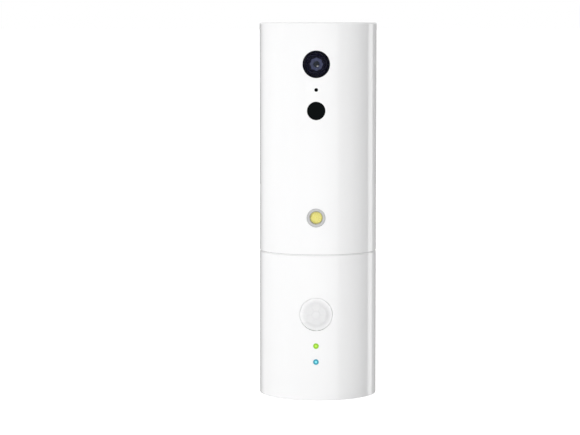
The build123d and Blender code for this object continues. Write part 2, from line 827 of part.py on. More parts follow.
with BuildPart() as foot_ring:
    disc_up(0, foot_proud + foot_sunk, foot_out_r - slip)
    disc_up(0, foot_proud + foot_sunk, foot_in_r + slip, mode=Mode.SUBTRACT)
    foot_ring_edges = foot_ring.edges().filter_by(GeomType.CIRCLE).group_by(Axis.Z)[0]
    fillet(foot_ring_edges, radius=foot_ring_round)
save(foot_ring, "foot_ring")

with BuildPart() as tripod_insert:
    disc_up(insert_low, insert_top, insert_r)
    disc_up(insert_low, insert_low + insert_flange_h, insert_flange_r)
    disc_up(insert_low, insert_top, thread_r, mode=Mode.SUBTRACT)
save(tripod_insert, "tripod_insert")

with BuildPart() as base_screws:
    screw_up(screw_seat, screw_length)
save(base_screws, "base_screws")

# Tray with two rails that carry the battery and the two upright boards
rail_mid = (rail_back - rail_front) / 2
with BuildPart() as base_tray:
    disc_up(tray_low, tray_top, tray_r)
    with BuildSketch(Plane.XY.offset(tray_top)) as rails:
        with Locations((rail_x + rail_thick / 2, rail_mid), (-rail_x - rail_thick / 2, rail_mid)):
            Rectangle(rail_thick, rail_front + rail_back)
    extrude(rails.sketch, amount=clamp_low - tray_top)
save(base_tray, "base_tray")

with BuildPart() as battery:
    with BuildSketch(Plane.XY.offset(tray_top)) as battery_shape:
        with Locations((0, rail_mid)):
            Rectangle(2 * (rail_x - loose), battery_depth)
    extrude(amount=battery_h)
    fillet(battery.edges().filter_by(Axis.Z), radius=battery_round)
save(battery, "battery")

with BuildPart() as battery_clamp:
    with BuildSketch(Plane.XY.offset(clamp_low)) as clamp_shape:
        with Locations((0, rail_mid)):
            Rectangle(2 * (rail_x + rail_thick), 2 * clamp_half)
    extrude(amount=clamp_thick)
    fillet(battery_clamp.edges().filter_by(Axis.Z), radius=screw_edge)
save(battery_clamp, "battery_clamp")

base_board_h = base_board_top - tray_top
base_board_z = tray_top + base_board_h / 2
with BuildPart() as sensor_board:
    block(front, base_board_z, rail_front, board_front, base_board_w, base_board_h)
save(sensor_board, "sensor_board")

with BuildPart() as port_board:
    block(back, base_board_z, rail_back, board_face, base_board_w, base_board_h)
save(port_board, "port_board")

# Wire bundle from the port board up through the hollow spindle
harness_z = clamp_top + harness_above_clamp + harness_r
with BuildPart() as wire_harness:
    with BuildLine() as harness_line:
        FilletPolyline(
            (0, rail_back, harness_z),
            (0, 0, harness_z),
            (0, 0, turret_top + harness_above_floor),
            radius=harness_bend,
        )
    with BuildSketch(Plane(origin=(0, rail_back, harness_z), z_dir=(0, -1, 0))):
        Circle(harness_r)
    sweep()
save(wire_harness, "wire_harness")

# Motion sensor: domed lens, ring that holds it and the metal can with its window
dome_rise = outer_r + pir_proud - pir_rim_reach
dome_r = (pir_r ** 2 + dome_rise ** 2) / (2 * dome_rise)
dome_centre = outer_r + pir_proud - dome_r
pir_inner_r = pir_r - pir_wall
dome_inner_r = dome_r - pir_wall


def dome_point(radius, angle):
    """Point on a dome of some radius, at an angle off the sensor's axis."""
    return (radius * math.sin(angle), -dome_centre - radius * math.cos(angle))


with BuildPart() as pir_lens:
    with BuildSketch(Plane.XY.offset(pir_z)):
        with BuildLine():
            rim_angle = math.asin(pir_r / dome_r)
            inner_angle = math.asin(pir_inner_r / dome_inner_r)
            skirt = Polyline(
                (pir_inner_r, -pir_flange_reach + pir_flange_thick),
                (pir_flange_r, -pir_flange_reach + pir_flange_thick),
                (pir_flange_r, -pir_flange_reach),
                (pir_r, -pir_flange_reach),
                dome_point(dome_r, rim_angle),
            )
            ThreePointArc(skirt @ 1, dome_point(dome_r, rim_angle / 2), dome_point(dome_r, 0))
            Line(dome_point(dome_r, 0), dome_point(dome_inner_r, 0))
            ThreePointArc(
                dome_point(dome_inner_r, 0),
                dome_point(dome_inner_r, inner_angle / 2),
                dome_point(dome_inner_r, inner_angle),
            )
            Line(dome_point(dome_inner_r, inner_angle), skirt @ 0)
        make_face()
    revolve(axis=Axis((0, 0, pir_z), (0, 1, 0)))
save(pir_lens, "pir_lens")

with BuildPart() as pir_ring:
    ring_bore_r = pir_socket_r - slip - pir_ring_wall
    ring_front = pir_flange_reach - pir_flange_thick
    bar(front, pir_z, pir_socket_reach, ring_front, pir_socket_r - slip)
    bar(front, pir_z, pir_socket_reach, ring_front, ring_bore_r, mode=Mode.SUBTRACT)
save(pir_ring, "pir_ring")

with BuildPart() as pir_sensor:
    bar(front, pir_z, board_front, board_front + pir_can_depth, pir_can_r)
    fillet(pir_sensor.edges().filter_by(GeomType.CIRCLE).sort_by(Axis.Y)[0], radius=screw_edge)
    can_front = board_front + pir_can_depth
    block(front, pir_z, can_front, can_front + pir_window_thick, pir_window_w, pir_window_h)
save(pir_sensor, "pir_sensor")

# Status lights: a chip on the sensor board and a light pipe through the shell, for each colour
led_front = board_front + status_led_thick
with BuildPart() as status_leds:
    for light_height in (green_z, blue_z):
        block(front, light_height, board_front, led_front, status_led_w, status_led_h)
save(status_leds, "status_leds")

for light_name, light_height in (("green", green_z), ("blue", blue_z)):
    with BuildPart() as light_pipe:
        bar(front, light_height, led_front + loose, face_reach, status_r)
        bar(front, light_height, pipe_flange_reach, pipe_seat, pipe_flange_r)
        fillet(light_pipe.edges().filter_by(GeomType.CIRCLE).sort_by(Axis.Y)[0], radius=inset)
    save(light_pipe, f"light_pipe_{light_name}")

# Sockets and switches on the port board
with BuildPart() as usb_socket:
    block(back, usb_z, board_face, port_face, usb_w, usb_h)
    fillet(usb_socket.edges().filter_by(Axis.Y), radius=usb_corner_r)
    usb_floor = board_face + usb_wall
    usb_bore_w = usb_w - 2 * usb_wall
    usb_bore_h = usb_h - 2 * usb_wall
    block(back, usb_z, usb_floor, port_face, usb_bore_w, usb_bore_h, mode=Mode.SUBTRACT)
    block(back, usb_z, board_face, port_face - usb_tongue_sunk, usb_tongue_w, usb_tongue_h)
save(usb_socket, "usb_socket")

with BuildPart() as card_socket:
    block(back, card_z, board_face, port_face, card_w, card_h)
    slot_floor = board_face + card_back_wall
    block(back, card_z, slot_floor, port_face, card_slot_w, card_slot_h, mode=Mode.SUBTRACT)
save(card_socket, "card_socket")

reset_back = panel_reach - reset_flange_gap - reset_flange_thick
reset_switch_face = reset_back - reset_travel - switch_gap
with BuildPart() as reset_switch:
    block(back, reset_z, board_face, reset_switch_face, reset_switch_w, reset_switch_w)
save(reset_switch, "reset_switch")

with BuildPart() as reset_button:
    bar(back, reset_z, reset_back, panel_front - reset_sunk, reset_r)
    bar(back, reset_z, reset_back, reset_back + reset_flange_thick, reset_flange_r)
save(reset_button, "reset_button")

stem_back = power_flange_reach - power_stem_length
power_nub_face = stem_back - power_travel - slip
power_switch_face = power_nub_face - power_nub_depth
with BuildPart() as power_switch:
    block(back, power_z, board_face, power_switch_face, power_switch_w, power_switch_w)
    bar(back, power_z, power_switch_face, power_nub_face, power_nub_r)
save(power_switch, "power_switch")

with BuildPart() as power_button:
    flange_face = power_flange_reach + power_flange_thick
    bar(back, power_z, stem_back, power_flange_reach, power_stem_r)
    bar(back, power_z, power_flange_reach, flange_face, power_r + power_flange_extra)
    bar(back, power_z, flange_face, outer_r + power_proud, power_r)
    fillet(power_button.edges().filter_by(GeomType.CIRCLE).sort_by(Axis.Y)[-1], radius=power_round)
save(power_button, "power_button")

# Panel round the sockets, and the door that covers it
panel_low = tray_top
panel_high = door_high + panel_above_door
with BuildPart() as port_panel:
    panel_mid = (panel_low + panel_high) / 2
    panel_h = panel_high - panel_low
    block(back, panel_mid, panel_reach, panel_front, 2 * panel_half_w, panel_h)
    with BuildSketch(back(panel_mid, board_face)) as posts:
        with GridLocations(2 * panel_half_w - panel_post_w, panel_h - panel_post_w, 2, 2):
            Rectangle(panel_post_w, panel_post_w)
    extrude(posts.sketch, amount=panel_reach - board_face)
    for cut_z, cut_w, cut_h in ((usb_z, usb_w, usb_h), (card_z, card_w, card_h)):
        cut_width = cut_w + socket_gap
        block(back, cut_z, panel_reach, panel_front, cut_width, cut_h + socket_gap, mode=Mode.SUBTRACT)
    bar(back, reset_z, panel_reach, panel_front, reset_r + inset, mode=Mode.SUBTRACT)
save(port_panel, "port_panel")

with BuildPart() as port_door:
    with BuildSketch(Plane.XY.offset(door_low)) as door_shape:
        Circle(outer_r)
        Circle(outer_r - door_thick, mode=Mode.SUBTRACT)
        back_wedge(door_free_angle - play_angle, door_hinge_angle, mode=Mode.INTERSECT)
        with Locations((pin_x, pin_y)):
            Circle(knuckle_r)
            Circle(door_pin_r + slip, mode=Mode.SUBTRACT)
    extrude(amount=door_high - door_low)
    with BuildSketch(back((door_low + door_high) / 2, inner_r)) as nick:
        with Locations((outer_r * math.sin(math.radians(door_free_angle)), 0)):
            Circle(door_nick_r)
    extrude(nick.sketch, amount=wall, mode=Mode.SUBTRACT)
save(port_door, "port_door")

with BuildPart() as door_pin:
    with BuildSketch(Plane.XY.offset(door_low - door_play - door_pin_grip)) as pin_shape:
        with Locations((pin_x, pin_y)):
            Circle(door_pin_r)
    extrude(amount=door_high - door_low + 2 * (door_play + door_pin_grip))
save(door_pin, "door_pin")
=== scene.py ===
"""Looks of a portable security camera: a glossy white cylinder with a turning head.

Metres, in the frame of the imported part: +Z up, the lens looks along -Y, and the origin is the centre
of the face that the camera stands on. Sizes come from the boxes of the part's own nodes wherever a
piece has to meet one.
"""

from __future__ import annotations

import logging
import math
from collections.abc import Iterable, Sequence
from dataclasses import dataclass, field
from enum import Enum
from functools import cache

import bmesh
import bpy
from mathutils import Matrix, Vector

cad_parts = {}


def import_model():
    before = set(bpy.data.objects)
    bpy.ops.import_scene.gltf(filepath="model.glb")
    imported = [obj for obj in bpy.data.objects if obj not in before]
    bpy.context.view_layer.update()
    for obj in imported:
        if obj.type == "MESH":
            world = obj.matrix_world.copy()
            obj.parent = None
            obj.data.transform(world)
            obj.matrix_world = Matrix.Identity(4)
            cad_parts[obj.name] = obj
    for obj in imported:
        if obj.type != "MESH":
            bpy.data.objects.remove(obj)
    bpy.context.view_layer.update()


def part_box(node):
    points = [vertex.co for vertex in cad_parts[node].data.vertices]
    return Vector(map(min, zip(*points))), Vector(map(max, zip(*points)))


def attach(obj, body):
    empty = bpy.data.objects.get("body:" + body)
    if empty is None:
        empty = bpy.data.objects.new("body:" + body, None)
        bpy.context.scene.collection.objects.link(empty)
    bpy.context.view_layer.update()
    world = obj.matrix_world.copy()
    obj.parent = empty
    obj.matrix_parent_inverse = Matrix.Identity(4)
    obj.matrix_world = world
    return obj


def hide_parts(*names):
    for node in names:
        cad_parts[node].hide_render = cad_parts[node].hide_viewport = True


LOG = logging.getLogger("camera")
MM = 0.001
SPIN_STEPS = 192
SMALL_STEPS = 96
PINHOLE_STEPS = 24
MERGE = 1e-7
SMOOTH_ANGLE = math.radians(32)
CASING_RADIUS = 18.5 * MM
LENS_HEIGHT = 105.1 * MM
DOME_HEIGHT = 27.3 * MM
CUTTER_END = 30 * MM
BLACK = (0.0, 0.0, 0.0)

Colour = tuple[float, float, float]
Profile = Sequence[tuple[float, float]]


class Side(Enum):
    """The side of the cylinder that a round piece faces."""

    FRONT = -1
    BACK = 1


class Work(Enum):
    """What is done to a piece with another volume."""

    CUT = "DIFFERENCE"
    JOIN = "UNION"


class LampShape(Enum):
    """The outline of a lamp."""

    PANEL = "RECTANGLE"
    DISC = "DISK"


@dataclass(frozen=True)
class Hole:
    """A round hole: the side it is on, its place across that side, its height and its radius."""

    side: Side
    across: float
    height: float
    radius: float


class Term:
    """A number in a shader: wraps one output socket, and each operator adds its Math node."""

    def __init__(self, graph: "Graph", socket: bpy.types.NodeSocket) -> None:
        """Wrap a socket.

        Args:
            graph: The material's graph, which new nodes go into.
            socket: The output socket that carries the number.
        """
        self.graph = graph
        self.socket = socket

    def math(self, operation: str, other: "Term | float", swap: bool = False) -> "Term":
        """Join this number with another one.

        Args:
            operation: The Math node's operation.
            other: The second number.
            swap: Whether the second number comes first.

        Returns:
            The result as a term.
        """
        pair = (other, self) if swap else (self, other)
        return self.graph.add("ShaderNodeMath", {"operation": operation}, {0: pair[0], 1: pair[1]}, "Value")

    def __add__(self, other: "Term | float") -> "Term":
        """Sum."""
        return self.math("ADD", other)

    __radd__ = __add__

    def __sub__(self, other: "Term | float") -> "Term":
        """Difference."""
        return self.math("SUBTRACT", other)

    def __rsub__(self, other: "Term | float") -> "Term":
        """Difference with the number first."""
        return self.math("SUBTRACT", other, swap=True)

    def __mul__(self, other: "Term | float") -> "Term":
        """Product."""
        return self.math("MULTIPLY", other)

    __rmul__ = __mul__

    def __truediv__(self, other: "Term | float") -> "Term":
        """Quotient."""
        return self.math("DIVIDE", other)

    def __pow__(self, other: "Term | float") -> "Term":
        """Power."""
        return self.math("POWER", other)


class Graph:
    """The nodes of one material, which start from a Principled shader."""

    def __init__(self, name: str) -> None:
        """Make an empty material with its shader and output.

        Args:
            name: The material's name.
        """
        self.material = bpy.data.materials.new(name)
        self.material.use_nodes = True
        self.tree = self.material.node_tree
        self.tree.nodes.clear()
        self.shader = self.tree.nodes.new("ShaderNodeBsdfPrincipled")
        self.output = self.tree.nodes.new("ShaderNodeOutputMaterial")
        self.tree.links.new(self.shader.outputs["BSDF"], self.output.inputs["Surface"])
        self.place = self.add("ShaderNodeTexCoord", {}, {}, "Object")

    def add(
        self,
        kind: str,
        settings: dict[str, object],
        inputs: dict[object, object],
        output: str | int = 0,
    ) -> Term:
        """Add one node.

        Args:
            kind: The node's type.
            settings: Its settings, set before its sockets. "stops" sets a ramp's stops.
            inputs: A value or a term for each socket, by name or place.
            output: The output to wrap.

        Returns:
            The output as a term.
        """
        node = self.tree.nodes.new(kind)
        for key, value in settings.items():
            if key == "stops":
                self._stops(node, value)
            else:
                setattr(node, key, value)
        for key, value in inputs.items():
            self.feed(node.inputs[key], value)
        return Term(self, node.outputs[output])

    def feed(self, socket: bpy.types.NodeSocket, value: object) -> None:
        """Link a term to a socket, or set the socket's own value."""
        if isinstance(value, Term):
            self.tree.links.new(value.socket, socket)
        elif isinstance(value, tuple) and len(value) == 3 and socket.type == "RGBA":
            socket.default_value = (*value, 1.0)
        else:
            socket.default_value = value

    def surface(self, **sockets: object) -> None:
        """Set the Principled shader's sockets, with _ for the blanks in their names."""
        for key, value in sockets.items():
            self.feed(self.shader.inputs[key.replace("_", " ")], value)

    @staticmethod
    def _stops(node: bpy.types.Node, stops: Sequence[tuple[float, Colour]]) -> None:
        """Set a colour ramp's stops."""
        ramp = node.color_ramp
        while len(ramp.elements) < len(stops):
            ramp.elements.new(0.5)
        for element, (position, colour) in zip(ramp.elements, stops):
            element.position = position
            element.color = (*colour, 1.0)

    def noise(self, size: float, detail: float) -> Term:
        """Noise whose features are about a size across, in metres, from 0 to 1."""
        inputs = {"Vector": self.place, "Scale": 1.0 / size, "Detail": detail}
        return self.add("ShaderNodeTexNoise", {}, inputs, "Fac")

    def waves(self, distance: Term, pitch: float) -> Term:
        """Sine of a distance, one wave to each pitch."""
        turns = {0: distance * (math.tau / pitch)}
        return self.add("ShaderNodeMath", {"operation": "SINE"}, turns, "Value")

    def mix(self, factor: Term | float, low: object, high: object) -> Term:
        """Colour between two, by a factor."""
        settings = {"data_type": "RGBA"}
        return self.add("ShaderNodeMix", settings, {0: factor, 6: low, 7: high}, 2)

    def bump(self, height: Term, depth: float) -> None:
        """Raise the surface by a height of 0 to 1 times a depth in metres."""
        inputs = {"Height": height, "Distance": depth, "Strength": 1.0}
        self.surface(Normal=self.add("ShaderNodeBump", {}, inputs, "Normal"))

    def moved(self, centre: Sequence[float]) -> Term:
        """Object coordinates measured from a centre."""
        inputs = {"Vector": self.place, "Location": tuple(-value for value in centre)}
        return self.add("ShaderNodeMapping", {}, inputs, "Vector")

    def off_axis(self, centre: Sequence[float], other: str = "Z") -> Term:
        """Distance from a line through a centre.

        Args:
            centre: A point on the line.
            other: The axis that is square to the line, besides X.

        Returns:
            The distance in metres.
        """
        x = self.add("ShaderNodeSeparateXYZ", {}, {"Vector": self.moved(centre)}, "X")
        y = Term(self, x.socket.node.outputs[other])
        return (x * x + y * y) ** 0.5


def scaled(colour: Colour, share: float) -> Colour:
    """A colour with each channel times a share."""
    return tuple(channel * share for channel in colour)


@dataclass(frozen=True)
class Finish:
    """A surface: its colour, how rough it is and what its grain is like."""

    name: str
    colour: Colour
    roughness: float = 0.4
    grain: float = 0.3 * MM
    grain_depth: float = 0.004 * MM
    shade: float = 0.04
    metallic: float = 0.0
    coat: float = 0.0
    glow: float = 0.0
    specular: float = 0.5
    scatter: float = 0.0
    tint_spread: float = 24
    least_rough: float = 0.85
    rough_span: float = 0.3

    def graph(self) -> Graph:
        """Build the material's graph.

        Returns:
            The graph, whose material is ready for use.
        """
        graph = Graph(self.name)
        broad = graph.noise(self.grain * self.tint_spread, detail=3.0)
        fine = graph.noise(self.grain, detail=4.0)
        graph.surface(
            Base_Color=graph.mix(broad, scaled(self.colour, 1.0 - self.shade), self.colour),
            Roughness=fine * (self.roughness * self.rough_span) + self.roughness * self.least_rough,
            Metallic=self.metallic,
            Coat_Weight=self.coat,
            Coat_Roughness=0.03,
            Specular_IOR_Level=self.specular,
        )
        if self.scatter:
            graph.surface(
                Subsurface_Weight=self.scatter,
                Subsurface_Scale=1.0 * MM,
                Subsurface_Radius=(1.0, 1.0, 1.0),
            )
        if self.glow:
            graph.surface(Emission_Color=self.colour, Emission_Strength=self.glow)
        graph.bump(fine, self.grain_depth)
        return graph


@cache
def material_for(finish: Finish) -> bpy.types.Material:
    """The material of a finish, built once."""
    return finish.graph().material


def dress(made: bpy.types.Object, finish: Finish) -> None:
    """Give an object one finish all over."""
    made.data.materials.clear()
    made.data.materials.append(material_for(finish))


@dataclass(frozen=True)
class TurnedMetal(Finish):
    """Metal with fine turning marks round the upright axis."""

    mark_pitch: float = 0.08 * MM
    mark_depth: float = 0.002 * MM

    def graph(self) -> Graph:
        """Build the material's graph, with rings round the axis."""
        graph = super().graph()
        marks = graph.waves(graph.off_axis((0.0, 0.0, 0.0), "Y"), self.mark_pitch)
        graph.bump(marks * 0.5 + 0.5, self.mark_depth)
        return graph


@dataclass(frozen=True)
class Circuit(Finish):
    """Solder mask with fine copper tracks that run under it."""

    track: Colour = (0.06, 0.27, 0.14)
    pitch: float = 1.1 * MM
    track_width: float = 0.03
    track_blur: float = 0.2
    track_depth: float = 0.01 * MM

    def graph(self) -> Graph:
        """Build the material's graph."""
        graph = super().graph()
        turned_up = {"Vector": graph.place, "Rotation": (math.pi / 2, 0, 0)}
        bricks = {
            "Vector": graph.add("ShaderNodeMapping", {}, turned_up),
            "Scale": 1.0 / (self.pitch * 4),
            "Mortar Size": self.track_width,
            "Mortar Smooth": self.track_blur,
        }
        cells = graph.add("ShaderNodeTexBrick", {}, bricks, "Fac")
        graph.surface(Base_Color=graph.mix(cells, self.colour, self.track))
        graph.bump(cells, self.track_depth)
        return graph


@dataclass(frozen=True)
class Weave(Finish):
    """Fine cloth of crossing threads."""

    thread: float = 0.22 * MM
    thread_depth: float = 0.3
    gap_shade: float = 0.35

    def graph(self) -> Graph:
        """Build the material's graph."""
        graph = super().graph()
        across = graph.add("ShaderNodeSeparateXYZ", {}, {"Vector": graph.place}, "X")
        up = Term(graph, across.socket.node.outputs["Z"])
        cloth = graph.waves(across, self.thread) * graph.waves(up, self.thread) * 0.5 + 0.5
        graph.surface(Base_Color=graph.mix(cloth, scaled(self.colour, self.gap_shade), self.colour))
        graph.bump(cloth, self.thread * self.thread_depth)
        return graph


@dataclass(frozen=True)
class Ringed(Finish):
    """A surface with a round middle of another colour, which faces the front. On the lens and the motion
    sensor's dome these rings are painted reflection, painted shade and painted light; on the status lights
    they are the lights' own glow.

    The middle's colour gives way to the surface's own between two shares of a radius. Where the
    surface glows, its light has these colours and little of them is left for its paint.
    """

    inner: Colour = BLACK
    start: float = 0.0
    end: float = 1.0
    radius: float = MM
    height: float = 0.0
    unpainted: float = 0.9

    def graph(self) -> Graph:
        """Build the material's graph."""
        graph = super().graph()
        share = graph.off_axis((0.0, 0.0, self.height)) / self.radius
        stops = [(0.0, self.inner), (self.start, self.inner), (self.end, self.colour), (1.0, self.colour)]
        rings = graph.add("ShaderNodeValToRGB", {"stops": stops}, {"Fac": share}, "Color")
        if self.glow:
            graph.surface(Base_Color=graph.mix(self.unpainted, rings, BLACK), Emission_Color=rings)
        else:
            graph.surface(Base_Color=rings)
        return graph


@dataclass(frozen=True)
class ClearCover(Finish):
    """A see-through cover that hides a little of what is behind it, and more at its edges."""

    haze: float = 0.1

    def graph(self) -> Graph:
        """Build the material's graph."""
        graph = super().graph()
        gloss = graph.add("ShaderNodeFresnel", {}, {"IOR": 1.45}, "Fac")
        graph.surface(Alpha=gloss * (1.0 - self.haze) + self.haze)
        return graph


GLOSSY_WHITE = Finish(
    "glossy_white", (0.88, 0.88, 0.882), 0.32, 0.45 * MM, 0.0006 * MM, shade=0.006, coat=1.0, specular=0.3
)
SATIN_WHITE = Finish("satin_white", (0.8, 0.8, 0.8), 0.5, 0.12 * MM, 0.004 * MM, shade=0.02)
BUTTON_GREY = Finish("button_white", (0.84, 0.84, 0.845), 0.4, 0.1 * MM, 0.002 * MM, shade=0.01, coat=0.4)
INNER_BLACK = Finish("moulded_black", (0.022, 0.022, 0.024), 0.5, 0.12 * MM, 0.006 * MM, shade=0.2)
CAMERA_BLACK = Finish(
    "camera_black", (0.009, 0.009, 0.016), 0.6, 0.08 * MM, 0.003 * MM, shade=0.2, specular=0.1
)
TUBE_BLACK = Finish("tube_black", (0.006, 0.006, 0.02), 0.5, 0.06 * MM, 0.002 * MM, shade=0.2, specular=0.12)
SCREEN_CLOTH = Weave("dust_screen", (0.004, 0.004, 0.004), 0.9, specular=0.1, thread=0.09 * MM)
DARK_WINDOW = Finish(
    "dark_window", (0.0015, 0.0027, 0.0032), 0.12, 0.5 * MM, 0.0002 * MM, shade=0.3, specular=0.05
)
RING_GREY = Finish("ring_grey", (0.53, 0.53, 0.53), 0.35, 0.1 * MM, 0.001 * MM, shade=0.05, coat=0.3)
LED_CERAMIC = Finish("led_ceramic", (0.75, 0.75, 0.72), 0.6, 0.08 * MM, 0.003 * MM, shade=0.05)
# Painted light: the faint glow brightens the unlit torch emitter's yellow.
PHOSPHOR_PAINTED_GLOW = Finish("phosphor", (0.86, 0.78, 0.11), 0.7, 0.07 * MM, 0.01 * MM, shade=0.12, glow=0.11)
# Painted light: the dome's colour runs from a greyer middle to a whiter rim, and the whiter rim lifts the rim
# where it turns down into shade.
DOME_PAINTED_SHADING = Ringed(
    "milky_dome_painted_shading", (0.88, 0.88, 0.885), 0.3, 0.3 * MM, 0.0008 * MM, coat=0.5, specular=0.1, scatter=0.2,
    inner=(0.72, 0.72, 0.725), start=0.72, end=0.97, radius=5.1 * MM, height=DOME_HEIGHT
)
SCREW_STEEL = TurnedMetal("screw_steel", (0.55, 0.55, 0.56), 0.3, shade=0.1, metallic=1.0)
SPRING_STEEL = Finish("spring_steel", (0.4, 0.4, 0.42), 0.3, 0.2 * MM, 0.002 * MM, shade=0.2, metallic=1.0)
BOARD_GREEN = Circuit("board_green", (0.02, 0.13, 0.06), 0.35, shade=0.1, coat=0.4)
ALUMINIUM = Finish("aluminium", (0.75, 0.75, 0.76), 0.35, 0.1 * MM, 0.003 * MM, shade=0.08, metallic=1.0)
TIN_PLATE = Finish("tin_plate", (0.62, 0.62, 0.6), 0.28, 0.4 * MM, 0.002 * MM, shade=0.12, metallic=1.0)
CERAMIC = Finish("antenna_ceramic", (0.72, 0.7, 0.62), 0.55, 0.06 * MM, 0.003 * MM, shade=0.06)
PLUG_WHITE = Finish("plug_nylon", (0.72, 0.71, 0.66), 0.45, 0.1 * MM, 0.002 * MM, shade=0.05, scatter=0.1)
FILTER_GLASS = Finish("filter_glass", (0.25, 0.12, 0.16), 0.05, 1.0 * MM, 0.0002 * MM, shade=0.2, coat=1.0)
CHIP_BLACK = Finish("chip_resin", (0.02, 0.02, 0.022), 0.55, 0.05 * MM, 0.004 * MM, shade=0.2)
FOAM_BLACK = Finish("foam", (0.015, 0.015, 0.015), 0.95, 0.12 * MM, 0.05 * MM, shade=0.5, specular=0.1)
RUBBER_BLACK = Finish(
    "soft_rubber", (0.012, 0.012, 0.012), 0.75, 0.1 * MM, 0.008 * MM, shade=0.3, specular=0.3
)
FOOT_RUBBER = Finish(
    "grey_foot_rubber", (0.7, 0.7, 0.71), 0.8, 0.14 * MM, 0.012 * MM, shade=0.1, specular=0.3
)
SPEAKER_BLACK = Finish("speaker_black", (0.03, 0.03, 0.032), 0.5, 0.15 * MM, 0.006 * MM, shade=0.2)
GRILLE_CLOTH = Weave("grille_cloth", (0.07, 0.07, 0.075), 0.8, specular=0.2, thread=0.24 * MM)
BEARING_WHITE = Finish(
    "bearing_plastic", (0.8, 0.79, 0.76), 0.4, 0.2 * MM, 0.002 * MM, shade=0.03, scatter=0.1
)
BRASS = TurnedMetal("insert_brass", (0.72, 0.5, 0.22), 0.28, shade=0.12, metallic=1.0)
BATTERY_WRAP = Finish("battery_wrap", (0.04, 0.16, 0.42), 0.3, 0.6 * MM, 0.006 * MM, shade=0.1, coat=0.5)
WIRE_JACKET = Finish("wire_jacket", (0.03, 0.03, 0.03), 0.5, 0.2 * MM, 0.01 * MM, shade=0.3)
# Painted reflection and painted shade: the lens's blue-grey ring stands in for its coating's reflection, and
# its near-black middle for the shade inside the lens.
LENS_PAINTED_REFLECTION = Ringed(
    "lens_painted_reflection", (0.17, 0.2, 0.4), 0.06, 0.4 * MM, 0.0002 * MM, coat=0.3,
    inner=(0.012, 0.024, 0.034), start=0.42, end=0.62, radius=1.95 * MM, height=LENS_HEIGHT
)
CLEAR_PLASTIC = ClearCover(
    "clear_plastic", (0.9, 0.9, 0.88), 0.06, 0.5 * MM, 0.0002 * MM, shade=0.02, haze=0.06
)
WINDOW_TINT = ClearCover(
    "window_tint", (0.01, 0.01, 0.024), 0.05, 0.8 * MM, 0.0002 * MM, shade=0.2, specular=0.15, haze=0.25
)


class Shape:
    """A bmesh in the making, with the operators that the pieces need."""

    def __init__(self) -> None:
        """Start with nothing."""
        self.bm = bmesh.new()

    def lathe(self, profile: Profile, steps: int = SPIN_STEPS) -> "Shape":
        """Spin an outline of (radius, height) points round Z.

        Args:
            profile: The outline's points. Its last one joins its first, unless both are on the axis.
            steps: How many steps the spin takes.

        Returns:
            This shape.
        """
        verts = [self.bm.verts.new((radius, 0.0, height)) for radius, height in profile]
        pairs = list(zip(verts, verts[1:]))
        if profile[0][0] > 0 or profile[-1][0] > 0:
            pairs.append((verts[-1], verts[0]))
        edges = [self.bm.edges.new(pair) for pair in pairs if pair[0].co.x > 0 or pair[1].co.x > 0]
        return self.sweep(verts + edges, math.tau, steps).merge()

    def sweep(self, parts: Sequence[object], angle: float, steps: int) -> "Shape":
        """Spin parts of the shape round Z by an angle, where a full turn closes on itself."""
        bmesh.ops.spin(
            self.bm,
            geom=parts,
            cent=(0, 0, 0),
            axis=(0, 0, 1),
            angle=angle,
            steps=steps,
            use_merge=angle >= math.tau,
        )
        return self

    def merge(self) -> "Shape":
        """Join doubled points and turn the faces outwards."""
        bmesh.ops.remove_doubles(self.bm, verts=self.bm.verts, dist=MERGE)
        bmesh.ops.recalc_face_normals(self.bm, faces=self.bm.faces)
        return self

    def ring(self, radius: float, height: float) -> list[bmesh.types.BMEdge]:
        """The edges of one circle round Z."""
        near = 1e-6

        def on(vert: bmesh.types.BMVert) -> bool:
            """Whether a point is on the circle."""
            return abs(vert.co.xy.length - radius) < near and abs(vert.co.z - height) < near

        return [edge for edge in self.bm.edges if on(edge.verts[0]) and on(edge.verts[1])]

    def round_ring(self, radius: float, height: float, size: float, segments: int = 4) -> "Shape":
        """Round the edge along one circle."""
        bmesh.ops.bevel(
            self.bm,
            geom=self.ring(radius, height),
            offset=size,
            offset_type="OFFSET",
            segments=segments,
            profile=0.5,
            affect="EDGES",
            material=-1,
            clamp_overlap=True,
        )
        return self

    def box(self, size: Vector, centre: Vector, soft: float) -> "Shape":
        """Add a block, with its edges rounded by a size."""
        made = bmesh.ops.create_cube(self.bm, size=1.0)["verts"]
        bmesh.ops.scale(self.bm, vec=size, verts=made)
        bmesh.ops.translate(self.bm, vec=centre, verts=made)
        edges = list({edge for vert in made for edge in vert.link_edges})
        bmesh.ops.bevel(
            self.bm, geom=edges, offset=soft, segments=3, profile=0.5, affect="EDGES", material=-1
        )
        return self

    def turn(self, matrix: Matrix) -> "Shape":
        """Move or turn the whole shape."""
        bmesh.ops.transform(self.bm, matrix=matrix, verts=self.bm.verts)
        return self

    def face(self, side: Side, height: float) -> "Shape":
        """Turn the shape's +Z to face the front or back, at a height on the cylinder."""
        quarter = Matrix.Rotation(-side.value * math.pi / 2, 4, "X")
        return self.turn(Matrix.Translation((0, 0, height)) @ quarter)

    def piece(self, name: str, smooth: float = SMOOTH_ANGLE) -> bpy.types.Object:
        """Finish the shape as an object at the origin.

        Args:
            name: The object's name.
            smooth: The angle up to which faces shade smoothly into each other.

        Returns:
            The new object, in the scene.
        """
        mesh = bpy.data.meshes.new(name)
        self.bm.to_mesh(mesh)
        self.bm.free()
        mesh.shade_smooth()
        mesh.set_sharp_from_angle(angle=smooth)
        made = bpy.data.objects.new(name, mesh)
        bpy.context.scene.collection.objects.link(made)
        return made


